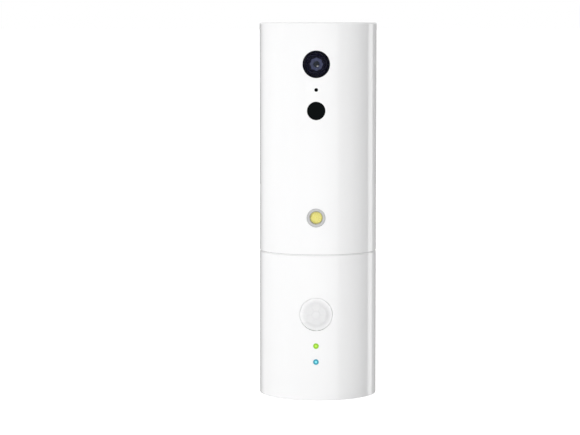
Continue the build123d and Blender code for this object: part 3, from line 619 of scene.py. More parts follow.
def modify(made: bpy.types.Object, kind: str, **settings: object) -> None:
    """Put the work of one modifier into an object's mesh.

    Args:
        made: The object.
        kind: The modifier's type.
        settings: The modifier's settings.
    """
    modifier = made.modifiers.new(kind.lower(), kind)
    for key, value in settings.items():
        setattr(modifier, key, value)
    bpy.context.view_layer.update()
    graph = bpy.context.evaluated_depsgraph_get()
    mesh = bpy.data.meshes.new_from_object(made.evaluated_get(graph))
    made.modifiers.clear()
    made.data = mesh


def combine(made: bpy.types.Object, work: Work, *others: bpy.types.Object) -> None:
    """Cut other objects out of an object or join them to it, and delete them."""
    for other in others:
        modify(made, "BOOLEAN", operation=work.value, solver="EXACT", object=other)
        bpy.data.objects.remove(other)


def soften(made: bpy.types.Object, size: float, segments: int = 2, angle: float = SMOOTH_ANGLE) -> None:
    """Round an object's sharp edges by a size."""
    modify(
        made,
        "BEVEL",
        width=size,
        segments=segments,
        limit_method="ANGLE",
        angle_limit=angle,
        use_clamp_overlap=True,
    )


def settle_normals(made: bpy.types.Object) -> None:
    """Shade an object smoothly up to its sharp edges, with its large faces flat."""
    made.data.shade_smooth()
    made.data.set_sharp_from_angle(angle=SMOOTH_ANGLE)
    modify(made, "WEIGHTED_NORMAL", keep_sharp=True, weight=100)


def true_round(made: bpy.types.Object, radius: float) -> None:
    """Give the outside of a cylinder round Z its exact normals, so that gloss runs evenly over it."""
    mesh = made.data
    mesh.shade_smooth()
    mesh.set_sharp_from_angle(angle=SMOOTH_ANGLE)
    near = 8e-6
    level = 0.98
    normals = [Vector(corner.vector) for corner in mesh.corner_normals]
    for polygon in mesh.polygons:
        for index in polygon.loop_indices:
            point = mesh.vertices[mesh.loops[index].vertex_index].co
            outward = Vector((point.x, point.y, 0.0)).normalized()
            if abs(point.xy.length - radius) < near and polygon.normal.dot(outward) > level:
                normals[index] = outward
    mesh.normals_split_custom_set(normals)


def heights(node: str) -> tuple[float, float]:
    """The lowest and the highest height of a node's box."""
    low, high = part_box(node)
    return low.z, high.z


def middle(node: str) -> float:
    """The height of the middle of a node's box."""
    low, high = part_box(node)
    return ((low + high) / 2).z


def reaches(node: str, side: Side = Side.FRONT) -> tuple[float, float, float]:
    """Where a node lies that faces out of the cylinder.

    Args:
        node: The node.
        side: The side that it faces.

    Returns:
        How far out its face is, how far out its back is, and the height of its middle.
    """
    low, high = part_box(node)
    face, back = (-low.y, -high.y) if side is Side.FRONT else (high.y, low.y)
    return face, back, middle(node)


def stack(*discs: tuple[float, float, float]) -> list[tuple[float, float]]:
    """Outline of discs that stand on each other, each a radius and the two reaches that it spans."""
    return [(radius, reach) for radius, *span in discs for reach in span]


def rod(radius: float, low: float, high: float) -> Profile:
    """Outline of a solid rod between two reaches."""
    return [(0, low), *stack((radius, low, high)), (0, high)]


def face_points(radius: float, reach: float, count: int = 6) -> Profile:
    """Points across a flat face, from near its edge to its middle, so that it can be curved."""
    return [(radius * step / count, reach) for step in range(count - 1, -1, -1)]


def crown(radius: float, face: float, points: Sequence[tuple[float, float]]) -> Profile:
    """Outline of a domed tip, from its rim to its middle.

    Args:
        radius: The tip's radius.
        face: The reach of its middle.
        points: For each point its share of the radius and its fall in millimetres.

    Returns:
        The points as (radius, reach).
    """
    return [(radius * share, face - fall * MM) for share, fall in points]


def sector(near: float, far: float, low: float, high: float, start: float, end: float) -> Shape:
    """A curved block at the back, between two radii, two heights and two angles from +Y.

    Args:
        near: Its inner radius.
        far: Its outer radius.
        low: Its lowest height.
        high: Its highest height.
        start: Angle of one end in degrees, positive towards +X.
        end: Angle of the other end.

    Returns:
        The block.
    """
    shape = Shape()
    turn = Matrix.Rotation(math.radians(90 - end), 4, "Z")
    outline = ((near, low), (far, low), (far, high), (near, high))
    verts = [shape.bm.verts.new(turn @ Vector((radius, 0, height))) for radius, height in outline]
    face = shape.bm.faces.new(verts)
    steps = max(8, round(SPIN_STEPS * (end - start) / 360))
    shape.sweep([*verts, *face.edges, face], math.radians(end - start), steps).merge()
    open_edges = [edge for edge in shape.bm.edges if edge.is_boundary]
    if open_edges:
        bmesh.ops.holes_fill(shape.bm, edges=open_edges, sides=4)
        shape.merge()
    return shape


def flush(made: bpy.types.Object, beyond: float, soft: float) -> None:
    """Curve the face of a round piece at the front with the cylinder, and round its edges.

    Args:
        made: The piece.
        beyond: Points farther out than this sink by the cylinder's fall there.
        soft: How much its edges are rounded.
    """
    for vert in made.data.vertices:
        reach = -vert.co.y
        if reach > beyond:
            vert.co.y = -((reach**2 - vert.co.x**2) ** 0.5)
    settle_normals(made)
    soften(made, soft)
    settle_normals(made)


def turned(
    name: str,
    height: float,
    profile: Profile,
    rounds: Iterable[tuple[float, float, float]] = (),
    side: Side = Side.FRONT,
    steps: int = SMALL_STEPS,
) -> bpy.types.Object:
    """Make a round piece whose axis points out of the cylinder.

    Args:
        name: The piece's name.
        height: Its height on the cylinder.
        profile: Its outline as (radius, reach) points.
        rounds: Circles to round, as (radius, reach, size).
        side: The side that it faces.
        steps: How many steps its spin takes.

    Returns:
        The piece.
    """
    shape = Shape().lathe(profile, steps)
    for circle in rounds:
        shape.round_ring(*circle)
    made = shape.face(side, height).piece(name)
    settle_normals(made)
    return made


def drill(holes: Iterable[Hole], start: float) -> bpy.types.Object:
    """Make one cutter for round holes through a wall.

    Args:
        holes: The holes.
        start: How far from the axis the cutter starts.

    Returns:
        The cutter, as one object.
    """
    whole = Shape()
    for hole in holes:
        steps = SMALL_STEPS if hole.radius > MM else PINHOLE_STEPS
        shape = Shape().lathe(rod(hole.radius, start, CUTTER_END), steps)
        shape.face(hole.side, hole.height).turn(Matrix.Translation((hole.across, 0, 0)))
        mesh = bpy.data.meshes.new("cutter")
        shape.bm.to_mesh(mesh)
        shape.bm.free()
        whole.bm.from_mesh(mesh)
        bpy.data.meshes.remove(mesh)
    return whole.merge().piece("cutter")


@dataclass
class Assembly:
    """A group of pieces that ride on one body; each kind builds its own."""

    body: str

    def fit(self, made: bpy.types.Object, finish: Finish, slot: str, nodes: Sequence[str] = ()) -> None:
        """Put a piece in its place.

        Args:
            made: The piece.
            finish: What its surface is.
            slot: Not used.
            nodes: The nodes that it stands for.
        """
        dress(made, finish)
        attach(made, self.body)
        if nodes:
            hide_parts(*nodes)
        LOG.info("%s: %d faces, finish %s", made.name, len(made.data.polygons), finish.name)

    def build(self) -> None:
        """Build the pieces."""
        raise NotImplementedError


@dataclass
class Casing(Assembly):
    """An upright tube of white plastic, with rounded ends and round holes in its wall."""

    name: str
    node: str
    radius: float = CASING_RADIUS
    wall: float = 1.8 * MM
    low_round: float = 0.12 * MM
    high_round: float = 0.12 * MM
    rim: float = 0.08 * MM
    pinhole: float = 0.8 * MM
    holes: list[Hole] = field(default_factory=list)

    def profile(self, low: float, high: float) -> Profile:
        """Outline of the wall between two heights."""
        raise NotImplementedError

    def extra_cuts(self) -> list[bpy.types.Object]:
        """Cutters for openings that aren't round."""
        return []

    def pierce(self, side: Side, radii: dict[str, float]) -> None:
        """Add a round hole at the height of each named node, with the radius that goes with it."""
        self.holes += [Hole(side, 0.0, middle(node), radius) for node, radius in radii.items()]

    def build(self) -> None:
        """Build the casing: spin its wall, round its ends, cut its openings and round their rims."""
        low, high = heights(self.node)
        shape = Shape().lathe(self.profile(low, high))
        shape.round_ring(self.radius, high, self.high_round, segments=6)
        shape.round_ring(self.radius, low, self.low_round, segments=4)
        made = shape.piece(self.name)
        combine(made, Work.CUT, drill(self.holes, self.radius - 2 * self.wall), *self.extra_cuts())
        self.ease_rims(made, low + self.low_round, high - self.high_round)
        settle_normals(made)
        true_round(made, self.radius)
        self.fit(made, GLOSSY_WHITE, "white_shell", [self.node])

    def ease_rims(self, made: bpy.types.Object, low: float, high: float) -> None:
        """Round the outer edges of the openings, but not of its pinholes.

        Args:
            made: The casing.
            low: Height below which no edge is an opening's.
            high: Height above which none is.
        """
        shape = bmesh.new()
        shape.from_mesh(made.data)
        near = 5e-6
        steep = math.radians(50)
        pinholes = [hole for hole in self.holes if hole.radius < self.pinhole]

        def at_pinhole(place: Vector) -> bool:
            """Whether a point is on the rim of a pinhole."""
            return any(
                hole.side.value * place.y > 0
                and math.hypot(place.x - hole.across, place.z - hole.height) < hole.radius + self.rim
                for hole in pinholes
            )

        def on_rim(edge: bmesh.types.BMEdge) -> bool:
            """Whether an edge runs along an opening on the outside."""
            outside = all(abs(vert.co.xy.length - self.radius) < near for vert in edge.verts)
            between = all(low < vert.co.z < high for vert in edge.verts)
            if not (outside and between and edge.is_manifold and edge.calc_face_angle(0) > steep):
                return False
            return not at_pinhole(edge.verts[0].co)

        bmesh.ops.bevel(
            shape,
            geom=[edge for edge in shape.edges if on_rim(edge)],
            offset=self.rim,
            offset_type="OFFSET",
            segments=3,
            profile=0.5,
            affect="EDGES",
            material=-1,
            clamp_overlap=False,
        )
        shape.to_mesh(made.data)
        shape.free()


@dataclass
class HeadCasing(Casing):
    """The turning head's cup, closed at the top."""

    high_round: float = 0.5 * MM
    roof: float = 2.0 * MM
    lens_hole: float = 4.25 * MM
    mic_hole: float = 0.58 * MM
    light_hole: float = 2.85 * MM
    torch_hole: float = 2.9 * MM
    grille_hole: float = 0.6 * MM
    grille_pitch: float = 2.2 * MM
    grille_rings: int = 3
    first_ring: int = 6

    def profile(self, low: float, high: float) -> Profile:
        """Outline of the cup's wall and roof."""
        inner = self.radius - self.wall
        under = high - self.roof
        return [
            (inner, low),
            (self.radius, low),
            (self.radius, high),
            (0, high),
            (0, under),
            (inner, under),
        ]

    def build(self) -> None:
        """Build the cup with the front's openings and the speaker's grille."""
        self.pierce(
            Side.FRONT,
            {
                "lens_window": self.lens_hole,
                "microphone_boot": self.mic_hole,
                "light_window": self.light_hole,
                "flash_ring": self.torch_hole,
            },
        )
        self.pierce(Side.BACK, {"speaker": self.grille_hole})
        centre = middle("speaker")
        for ring in range(1, self.grille_rings + 1):
            count = self.first_ring * ring
            for step in range(count):
                angle = math.tau * step / count
                across = -ring * self.grille_pitch * math.cos(angle)
                height = centre + ring * self.grille_pitch * math.sin(angle)
                self.holes.append(Hole(Side.BACK, across, height, self.grille_hole))
        super().build()


@dataclass
class BaseCasing(Casing):
    """The base's tube, with the deck that the head turns on."""

    low_round: float = 0.2 * MM
    deck: float = 2.2 * MM
    deck_hole: float = 6.3 * MM
    track: tuple[float, float, float] = (9.0 * MM, 11.0 * MM, 1.2 * MM)
    lip: tuple[float, float, float] = (17.2 * MM, 18.33 * MM, 0.33 * MM)
    dome_hole: float = 5.15 * MM
    status_hole: float = 0.9 * MM
    power_hole: float = 3.1 * MM
    door_angles: tuple[float, float] = (-22.0, 27.1)
    door_play: float = 0.3 * MM

    def profile(self, low: float, high: float) -> Profile:
        """Outline of the tube, its deck and the stop peg's track."""
        inner = self.radius - self.wall
        near, far, depth = self.track
        lip_near, lip_far, lip_rise = self.lip
        under = high - self.deck
        return [
            (inner, low),
            (self.radius, low),
            (self.radius, high),
            (lip_far, high),
            (lip_far, high + lip_rise),
            (lip_near, high + lip_rise),
            (lip_near, high),
            (far, high),
            (far, high - depth),
            (near, high - depth),
            (near, high),
            (self.deck_hole, high),
            (self.deck_hole, under),
            (inner, under),
        ]

    def build(self) -> None:
        """Build the tube with its openings."""
        self.pierce(
            Side.FRONT,
            {
                "pir_lens": self.dome_hole,
                "light_pipe_green": self.status_hole,
                "light_pipe_blue": self.status_hole,
            },
        )
        self.pierce(Side.BACK, {"power_button": self.power_hole})
        super().build()

    def extra_cuts(self) -> list[bpy.types.Object]:
        """Cutter for the port door's opening."""
        low, high = heights("port_door")
        play = self.door_play
        near, far = self.radius - 2 * self.wall, self.radius + self.wall
        return [sector(near, far, low - play, high + play, *self.door_angles).piece("cutter")]


@dataclass
class CameraEye(Assembly):
    """The camera behind its dark window: window, black surround, lens tube, scalloped iris and lens."""

    body: str = "head"
    window_radius: float = 4.2 * MM
    window_back_round: float = 0.1 * MM
    window_edge: float = 0.5 * MM
    window_soft: float = 0.06 * MM
    surround_radius: float = 5.4 * MM
    surround_bore: float = 3.4 * MM
    surround_seat: float = 1.7 * MM
    surround_step: float = 0.35 * MM
    surround_fall: float = 0.5 * MM
    surround_round: float = 0.08 * MM
    tube_radius: float = 3.2 * MM
    tube_body: float = 3.95 * MM
    tube_bore: float = 1.6 * MM
    tube_nose: float = 3.7 * MM
    tube_chamfer: float = 0.35 * MM
    mouth: float = 2.4 * MM
    mouth_depth: float = 1.6 * MM
    mouth_chamfer: float = 0.25 * MM
    aperture: float = 1.98 * MM
    iris_outside: float = 0.42 * MM
    iris_inside: float = 0.5 * MM
    iris_thick: float = 0.06 * MM
    scallop: float = 0.12 * MM
    scallops: int = 8
    lens_radius: float = 2.35 * MM
    lens_steps: int = 12
    lens_sink: float = 0.08 * MM
    bulge: float = 0.45 * MM

    def build(self) -> None:
        """Build the eye from the outside in."""
        self._window()
        self._surround()
        self._tube()
        self._iris()
        self._lens()

    def _window(self) -> None:
        """Build the flush dark window."""
        face, back, height = reaches("lens_window")
        radius = self.window_radius
        profile = [(0, back), *stack((radius, back, face)), *face_points(radius, face)]
        made = turned("lens_cover_window", height, profile, [(radius, back, self.window_back_round)])
        flush(made, back + self.window_edge, self.window_soft)
        self.fit(made, WINDOW_TINT, "window_glass", ["lens_window"])

    def _surround(self) -> None:
        """Build the black surround that the window sits on."""
        face, back, height = reaches("lens_bezel")
        seat = back + self.surround_seat
        profile = [
            (self.surround_bore, back),
            *stack((self.surround_radius, back, seat), (self.window_radius, seat, face)),
            (self.surround_bore + self.surround_step, face),
            (self.surround_bore, face - self.surround_fall),
        ]
        made = turned("lens_surround", height, profile, [(self.window_radius, face, self.surround_round)])
        self.fit(made, CAMERA_BLACK, "camera_black", ["lens_bezel"])

    def _tube(self) -> None:
        """Build the lens tube."""
        tip, back, height = reaches("lens_barrel")
        shoulder = tip - self.tube_nose
        seat = tip - self.mouth_depth
        profile = [
            (self.tube_bore, back),
            *stack((self.tube_body, back, shoulder), (self.tube_radius, shoulder, tip - self.tube_chamfer)),
            (self.tube_radius - self.tube_chamfer, tip),
            (self.mouth + self.mouth_chamfer, tip),
            (self.mouth, tip - self.mouth_chamfer),
            (self.mouth, seat),
            (self.tube_bore, seat),
        ]
        self.fit(turned("lens_tube", height, profile), TUBE_BLACK, "camera_black", ["lens_barrel"])

    def _iris(self) -> None:
        """Build the scalloped iris inside the tube's mouth."""
        tip, _, height = reaches("lens_barrel")
        iris = Shape()
        outer, inner = (
            bmesh.ops.create_circle(iris.bm, cap_ends=False, radius=radius, segments=SMALL_STEPS)["verts"]
            for radius in (self.mouth, self.aperture)
        )
        for vert in inner:
            angle = math.atan2(vert.co.y, vert.co.x)
            swell = self.scallop * math.cos(self.scallops * angle)
            vert.co.xy *= 1 + swell / self.aperture
        bmesh.ops.translate(iris.bm, vec=(0, 0, tip - self.iris_outside), verts=outer)
        bmesh.ops.translate(iris.bm, vec=(0, 0, tip - self.iris_inside), verts=inner)
        bmesh.ops.bridge_loops(iris.bm, edges=iris.bm.edges)
        bmesh.ops.solidify(iris.bm, geom=iris.bm.faces, thickness=self.iris_thick)
        made = iris.merge().face(Side.FRONT, height).piece("lens_iris")
        self.fit(made, TUBE_BLACK, "camera_black")

    def _lens(self) -> None:
        """Build the bulging front lens."""
        tip, back, height = reaches("front_lens")
        rim = tip - self.bulge
        profile = [(0, back), (self.lens_radius, back)]
        for step in range(self.lens_steps + 1):
            across = self.lens_radius * (1 - step / self.lens_steps)
            rise = self.bulge * (1 - (across / self.lens_radius) ** 2)
            profile.append((across, rim + rise - self.lens_sink))
        made = turned("lens_front_glass", height, profile)
        # The lens's colour holds a painted reflection on its ring and painted shade in its middle.
        self.fit(made, LENS_PAINTED_REFLECTION, "lens_glass", ["front_lens"])


@dataclass
class SmallEyes(Assembly):
    """The microphone's dust screen and the light sensor's dark window."""

    body: str = "head"
    screen_radius: float = 0.575 * MM
    screen_reach: float = 18.2 * MM
    screen_thick: float = 0.5 * MM
    screen_steps: int = 32
    window_radius: float = 2.8 * MM
    window_edge: float = 0.3 * MM
    window_soft: float = 0.05 * MM
    flange_radius: float = 3.6 * MM
    flange_thick: float = 0.8 * MM

    def build(self) -> None:
        """Build both."""
        profile = rod(self.screen_radius, self.screen_reach - self.screen_thick, self.screen_reach)
        height = middle("microphone_boot")
        made = turned("microphone_dust_screen", height, profile, steps=self.screen_steps)
        self.fit(made, SCREEN_CLOTH, "foam_black")

        face, back, height = reaches("light_window")
        seat = back + self.flange_thick
        profile = [
            (0, back),
            *stack((self.flange_radius, back, seat), (self.window_radius, seat, face)),
            *face_points(self.window_radius, face),
        ]
        made = turned("light_sensor_window", height, profile)
        flush(made, seat + self.window_edge, self.window_soft)
        self.fit(made, DARK_WINDOW, "dark_window", ["light_window"])


@dataclass
class TorchLight(Assembly):
    """The torch: grey reflector ring, yellow emitter and clear lens."""

    body: str = "head"
    ring_radius: float = 2.85 * MM
    ring_edge: float = 0.5 * MM
    ring_soft: float = 0.05 * MM
    flange_radius: float = 3.65 * MM
    flange_thick: float = 0.8 * MM
    bore: float = 2.0 * MM
    slope: float = 0.25 * MM
    package: float = 3.6 * MM
    package_thick: float = 0.8 * MM
    package_soft: float = 0.1 * MM
    emitter_radius: float = 1.93 * MM
    emitter_crown: Profile = ((1.0, 0.25), (0.9, 0.08), (0.6, 0.0), (0.0, 0.0))
    lens_radius: float = 1.95 * MM
    lens_crown: Profile = ((1.0, 0.25), (0.85, 0.1), (0.5, 0.02), (0.0, 0.0))

    def build(self) -> None:
        """Build the ring, the emitter and the lens."""
        face, back, height = reaches("flash_ring")
        seat = back + self.flange_thick
        opening = self.bore + self.slope
        profile = [
            (self.bore, back),
            *stack((self.flange_radius, back, seat), (self.ring_radius, seat, face)),
            ((self.ring_radius + opening) / 2, face),
            (opening, face),
            (self.bore, face - self.slope),
        ]
        made = turned("torch_ring", height, profile)
        flush(made, seat + self.ring_edge, self.ring_soft)
        self.fit(made, RING_GREY, "ring_grey", ["flash_ring"])
        self._emitter(height)

        face, back, _ = reaches("flash_lens")
        profile = [(0, back), (self.lens_radius, back), *crown(self.lens_radius, face, self.lens_crown)]
        self.fit(turned("torch_lens", height, profile), CLEAR_PLASTIC, "clear_plastic", ["flash_lens"])

    def _emitter(self, height: float) -> None:
        """Build the emitter's square package and its yellow face, at a height."""
        face, back, _ = reaches("flash_led")
        top = back + self.package_thick
        size = Vector((self.package, self.package_thick, self.package))
        place = Vector((0, -(back + self.package_thick / 2), height))
        made = Shape().box(size, place, self.package_soft).piece("torch_emitter_package")
        settle_normals(made)
        self.fit(made, LED_CERAMIC, "led_white", ["flash_led"])
        radius = self.emitter_radius
        profile = [(0, top), (radius, top), *crown(radius, face, self.emitter_crown)]
        # The emitter's faint glow is painted light.
        self.fit(turned("torch_emitter", height, profile), PHOSPHOR_PAINTED_GLOW, "phosphor_yellow")


@dataclass
class MotionDome(Assembly):
    """The motion sensor's domed lens: milky plastic moulded in shallow facets."""

    body: str = "base"
    radius: float = 5.1 * MM
    rim: float = 18.0 * MM
    groove: float = 0.04 * MM
    wall: float = 0.7 * MM
    flange_radius: float = 6.2 * MM
    flange_thick: float = 0.8 * MM
    facet_rings: tuple[tuple[float, float, int], ...] = ((0.24, 0.6, 6), (0.6, 0.97, 10))
    outer_rows: int = 60
    inner_rows: int = 12
    steps: int = 120
    smooth: float = math.radians(40)

    def build(self) -> None:
        """Build the dome."""
        apex, back, height = reaches("pir_lens")
        rise = apex - self.rim
        dome_radius = (self.radius**2 + rise**2) / (2 * rise)
        centre = apex - dome_radius
        span = math.asin(self.radius / dome_radius)
        inner_radius = dome_radius - self.wall
        inner_span = math.asin((self.radius - self.wall) / inner_radius)
        seat = back + self.flange_thick
        *outer, edge = self._arc(centre, dome_radius, span, self.outer_rows)
        profile = [
            *self._arc(centre, inner_radius, inner_span, self.inner_rows),
            (self.radius - self.wall, back),
            *stack((self.flange_radius, back, seat)),
            (self.radius - self.groove, seat),
            (self.radius - self.groove, edge[1]),
            *reversed(outer),
        ]
        shape = Shape().lathe(profile, self.steps)
        for vert in shape.bm.verts:
            self._facet(vert, centre, dome_radius, span)
        made = shape.face(Side.FRONT, height).piece("motion_sensor_dome", smooth=self.smooth)
        # The dome's whiter rim is painted light.
        self.fit(made, DOME_PAINTED_SHADING, "dome_white", ["pir_lens"])

    @staticmethod
    def _arc(centre: float, radius: float, span: float, rows: int) -> list[tuple[float, float]]:
        """Points along an arc, from its apex on the axis.

        Args:
            centre: Reach of the arc's centre.
            radius: The arc's radius.
            span: Angle from the axis to its end.
            rows: How many parts it has.

        Returns:
            The points as (radius, reach).
        """
        tilts = [span * step / rows for step in range(rows + 1)]
        return [(radius * math.sin(tilt), centre + radius * math.cos(tilt)) for tilt in tilts]

    def _facet(self, vert: bmesh.types.BMVert, centre: float, dome_radius: float, span: float) -> None:
        """Flatten one point of the dome's outside into the plane of its facet.

        Args:
            vert: The point.
            centre: Reach of the dome's centre of curvature.
            dome_radius: The dome's radius of curvature.
            span: Angle from the dome's axis to its edge.
        """
        near = 1e-6
        middle_of_dome = Vector((0, 0, centre))
        from_centre = vert.co - middle_of_dome
        if abs(from_centre.length - dome_radius) > near:
            return
        away = from_centre.normalized()
        share = math.acos(min(1.0, away.z)) / span
        for start, end, count in self.facet_rings:
            if start <= share < end:
                step = math.floor(math.atan2(away.y, away.x) / math.tau * count) + 0.5
                bearing = math.tau * step / count
                facing = self._towards(span * (start + end) / 2, bearing)
                corner = self._towards(span * end, bearing + math.pi / count)
                reach = dome_radius * facing.dot(corner) / facing.dot(away)
                vert.co = middle_of_dome + away * min(dome_radius, reach)

    @staticmethod
    def _towards(tilt: float, bearing: float) -> Vector:
        """Direction at a tilt from the dome's axis and a bearing round it."""
        across = math.sin(tilt)
        return Vector((across * math.cos(bearing), across * math.sin(bearing), math.cos(tilt)))


@dataclass
class StatusLights(Assembly):
    """The two lit ends of the light pipes."""

    body: str = "base"
    radius: float = 0.85 * MM
    flange_radius: float = 1.1 * MM
    flange: tuple[float, float] = (15.1 * MM, 15.9 * MM)
    tip: Profile = ((1.0, 0.12), (0.85, 0.03), (0.5, 0.0), (0.0, 0.0))
    steps: int = 48
    roughness: float = 0.2
    glow: float = 1.0
    bright: tuple[float, float] = (0.1, 0.6)
    colours: tuple[tuple[str, Colour, Colour], ...] = (
        ("green", (0.27, 0.54, 0.03), (0.56, 1.0, 0.08)),
        ("blue", (0.03, 0.3, 0.41), (0.3, 0.95, 1.0)),
    )

    def build(self) -> None:
        """Build both pipes, each bright in the middle and deeper in colour at the rim."""
        near, far = self.flange
        start, end = self.bright
        for colour, rim, inner in self.colours:
            node = f"light_pipe_{colour}"
            face, back, height = reaches(node)
            profile = [
                (0, back),
                *stack((self.radius, back, near), (self.flange_radius, near, far)),
                (self.radius, far),
                *crown(self.radius, face, self.tip),
            ]
            made = turned(f"status_light_{colour}", height, profile, steps=self.steps)
            finish = Ringed(
                f"{colour}_light",
                rim,
                self.roughness,
                glow=self.glow,
                inner=inner,
                start=start,
                end=end,
                radius=self.radius,
                height=height,
            )
            self.fit(made, finish, f"{colour}_light", [node])


@dataclass
class PowerButton(Assembly):
    """The round power button at the back, with a dished face."""

    body: str = "power_button"
    radius: float = 3.0 * MM
    rim_round: float = 0.3 * MM
    rim_width: float = 0.55 * MM
    stem_radius: float = 1.6 * MM
    stem_length: float = 1.2 * MM
    flange_radius: float = 3.7 * MM
    flange_thick: float = 0.8 * MM
    dish: float = 0.18 * MM
    dish_rows: int = 8

    def build(self) -> None:
        """Build the button."""
        face, back, height = reaches("power_button", Side.BACK)
        flange = back + self.stem_length
        seat = flange + self.flange_thick
        bowl = self.radius - self.rim_width
        profile = [
            (0, back),
            *stack((self.stem_radius, back, flange), (self.flange_radius, flange, seat)),
            *stack((self.radius, seat, face)),
        ]
        for step in range(self.dish_rows + 1):
            share = 1 - step / self.dish_rows
            profile.append((bowl * share, face - self.dish * (1 - share**2)))
        rounds = [(self.radius, face, self.rim_round)]
        made = turned("power_button_cap", height, profile, rounds, Side.BACK)
        self.fit(made, BUTTON_GREY, "white_shell", ["power_button"])


@dataclass
class PortDoor(Assembly):
    """The curved door at the back, with its hinge knuckle and a nick for a fingertip."""

    body: str = "port_door"
    radius: float = CASING_RADIUS
    thick: float = 1.4 * MM
    angles: tuple[float, float] = (-20.97, 22.0)
    pin: tuple[float, float] = (6.473 * MM, 16.022 * MM)
    pin_hole: float = 0.5 * MM
    pin_steps: int = 32
    knuckle: float = 1.2 * MM
    knuckle_steps: int = 64
    nick: float = 1.1 * MM
    nick_angle: float = 22.0
    edge: float = 0.12 * MM
    sharp: float = math.radians(40)

    def build(self) -> None:
        """Build the door."""
        low, high = heights("port_door")
        made = sector(self.radius - self.thick, self.radius, low, high, *self.angles).piece("port_door_cover")
        place = Matrix.Translation((*self.pin, 0))
        knuckle = Shape().lathe(rod(self.knuckle, low, high), self.knuckle_steps)
        combine(made, Work.JOIN, knuckle.turn(place).piece("knuckle"))
        hole = Shape().lathe(rod(self.pin_hole, low - MM, high + MM), self.pin_steps)
        across = -self.radius * math.sin(math.radians(self.nick_angle))
        nick = Hole(Side.BACK, across, (low + high) / 2, self.nick)
        nick_cutter = drill([nick], self.radius - 4 * self.thick)
        combine(made, Work.CUT, hole.turn(place).piece("cutter"), nick_cutter)
        soften(made, self.edge, segments=3, angle=self.sharp)
        settle_normals(made)
        true_round(made, self.radius)
        self.fit(made, GLOSSY_WHITE, "white_shell", ["port_door"])


@dataclass(frozen=True)
class ContactRow:
    """A row of thin contacts in a socket, by their depth behind its face and their rise over its middle."""

    name: str
    node: str
    count: int
    pitch: float
    depth: float
    rise: float


@dataclass
class PortBay(Assembly):
    """Contacts inside the charging socket and the card slot."""

    body: str = "base"
    length: float = 1.1 * MM
    thick: float = 0.06 * MM
    width: float = 0.55
    soft: float = 0.02 * MM
    rows: tuple[ContactRow, ...] = (
        ContactRow("usb_contacts", "usb_socket", 12, 0.32 * MM, 1.6 * MM, 0.36 * MM),
        ContactRow("card_contacts", "card_socket", 8, 1.1 * MM, 1.2 * MM, -0.41 * MM),
    )

    def build(self) -> None:
        """Build the rows of gold contacts."""
        for row in self.rows:
            face, _, height = reaches(row.node, Side.BACK)
            size = Vector((row.pitch * self.width, self.length, self.thick))
            shape = Shape()
            for step in range(row.count):
                across = (step - (row.count - 1) / 2) * row.pitch
                shape.box(size, Vector((across, face - row.depth, height + row.rise)), self.soft)
            self.fit(shape.piece(row.name), BRASS, "insert_brass")


@dataclass
class Underside(Assembly):
    """The rubber ring and the threaded insert under the base."""

    body: str = "base"
    ring_bore: float = 11.45 * MM
    ring_lip: float = 0.2 * MM
    groove: float = 0.35 * MM
    groove_depth: float = 0.2 * MM
    groove_count: int = 3
    insert_radius: float = 4.2 * MM
    flange_radius: float = 5.0 * MM
    flange_thick: float = 0.8 * MM
    flange_round: float = 0.15 * MM
    thread_radius: float = 2.6 * MM
    thread_depth: float = 0.5 * MM
    thread_pitch: float = 1.27 * MM
    thread_start: float = 0.5 * MM
    thread_spare: float = 0.6 * MM
    thread_form: Profile = ((0.0, 0.0), (0.0, 0.15), (1.0, 0.5), (1.0, 0.6))

    def build(self) -> None:
        """Build the ring and the insert."""
        self._ring()
        self._insert()

    def _ring(self) -> None:
        """Build the rubber ring with grooves in its foot."""
        low, high = heights("foot_ring")
        near, far = self.ring_bore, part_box("foot_ring")[1].x
        lip = self.ring_lip
        bottom = [(near + lip, low)]
        for step in range(self.groove_count):
            across = near + (far - near) * (step + 1) / (self.groove_count + 1)
            bottom += [
                (across - self.groove, low),
                (across - self.groove / 2, low + self.groove_depth),
                (across + self.groove / 2, low + self.groove_depth),
                (across + self.groove, low),
            ]
        bottom.append((far - lip, low))
        profile = [(near, high), (near, low + lip), *bottom, (far, low + lip), (far, high)]
        made = Shape().lathe(profile).piece("rubber_foot_ring")
        self.fit(made, FOOT_RUBBER, "foot_rubber", ["foot_ring"])

    def _insert(self) -> None:
        """Build the insert with the turns of its thread."""
        low, high = heights("tripod_insert")
        wall = [(self.thread_radius + self.thread_depth, low)]
        count = int((high - low - self.thread_spare) / self.thread_pitch)
        base = low + self.thread_start
        for step in range(count):
            foot = base + step * self.thread_pitch
            wall += [
                (self.thread_radius + depth * self.thread_depth, foot + rise * self.thread_pitch)
                for depth, rise in self.thread_form
            ]
        wall += [(self.thread_radius, base + count * self.thread_pitch), (self.thread_radius, high)]
        seat = low + self.flange_thick
        profile = [*wall, *stack((self.insert_radius, high, seat), (self.flange_radius, seat, low))]
        shape = Shape().lathe(profile, SMALL_STEPS)
        shape.round_ring(self.flange_radius, low, self.flange_round, segments=3)
        self.fit(shape.piece("tripod_thread_insert"), BRASS, "insert_brass", ["tripod_insert"])


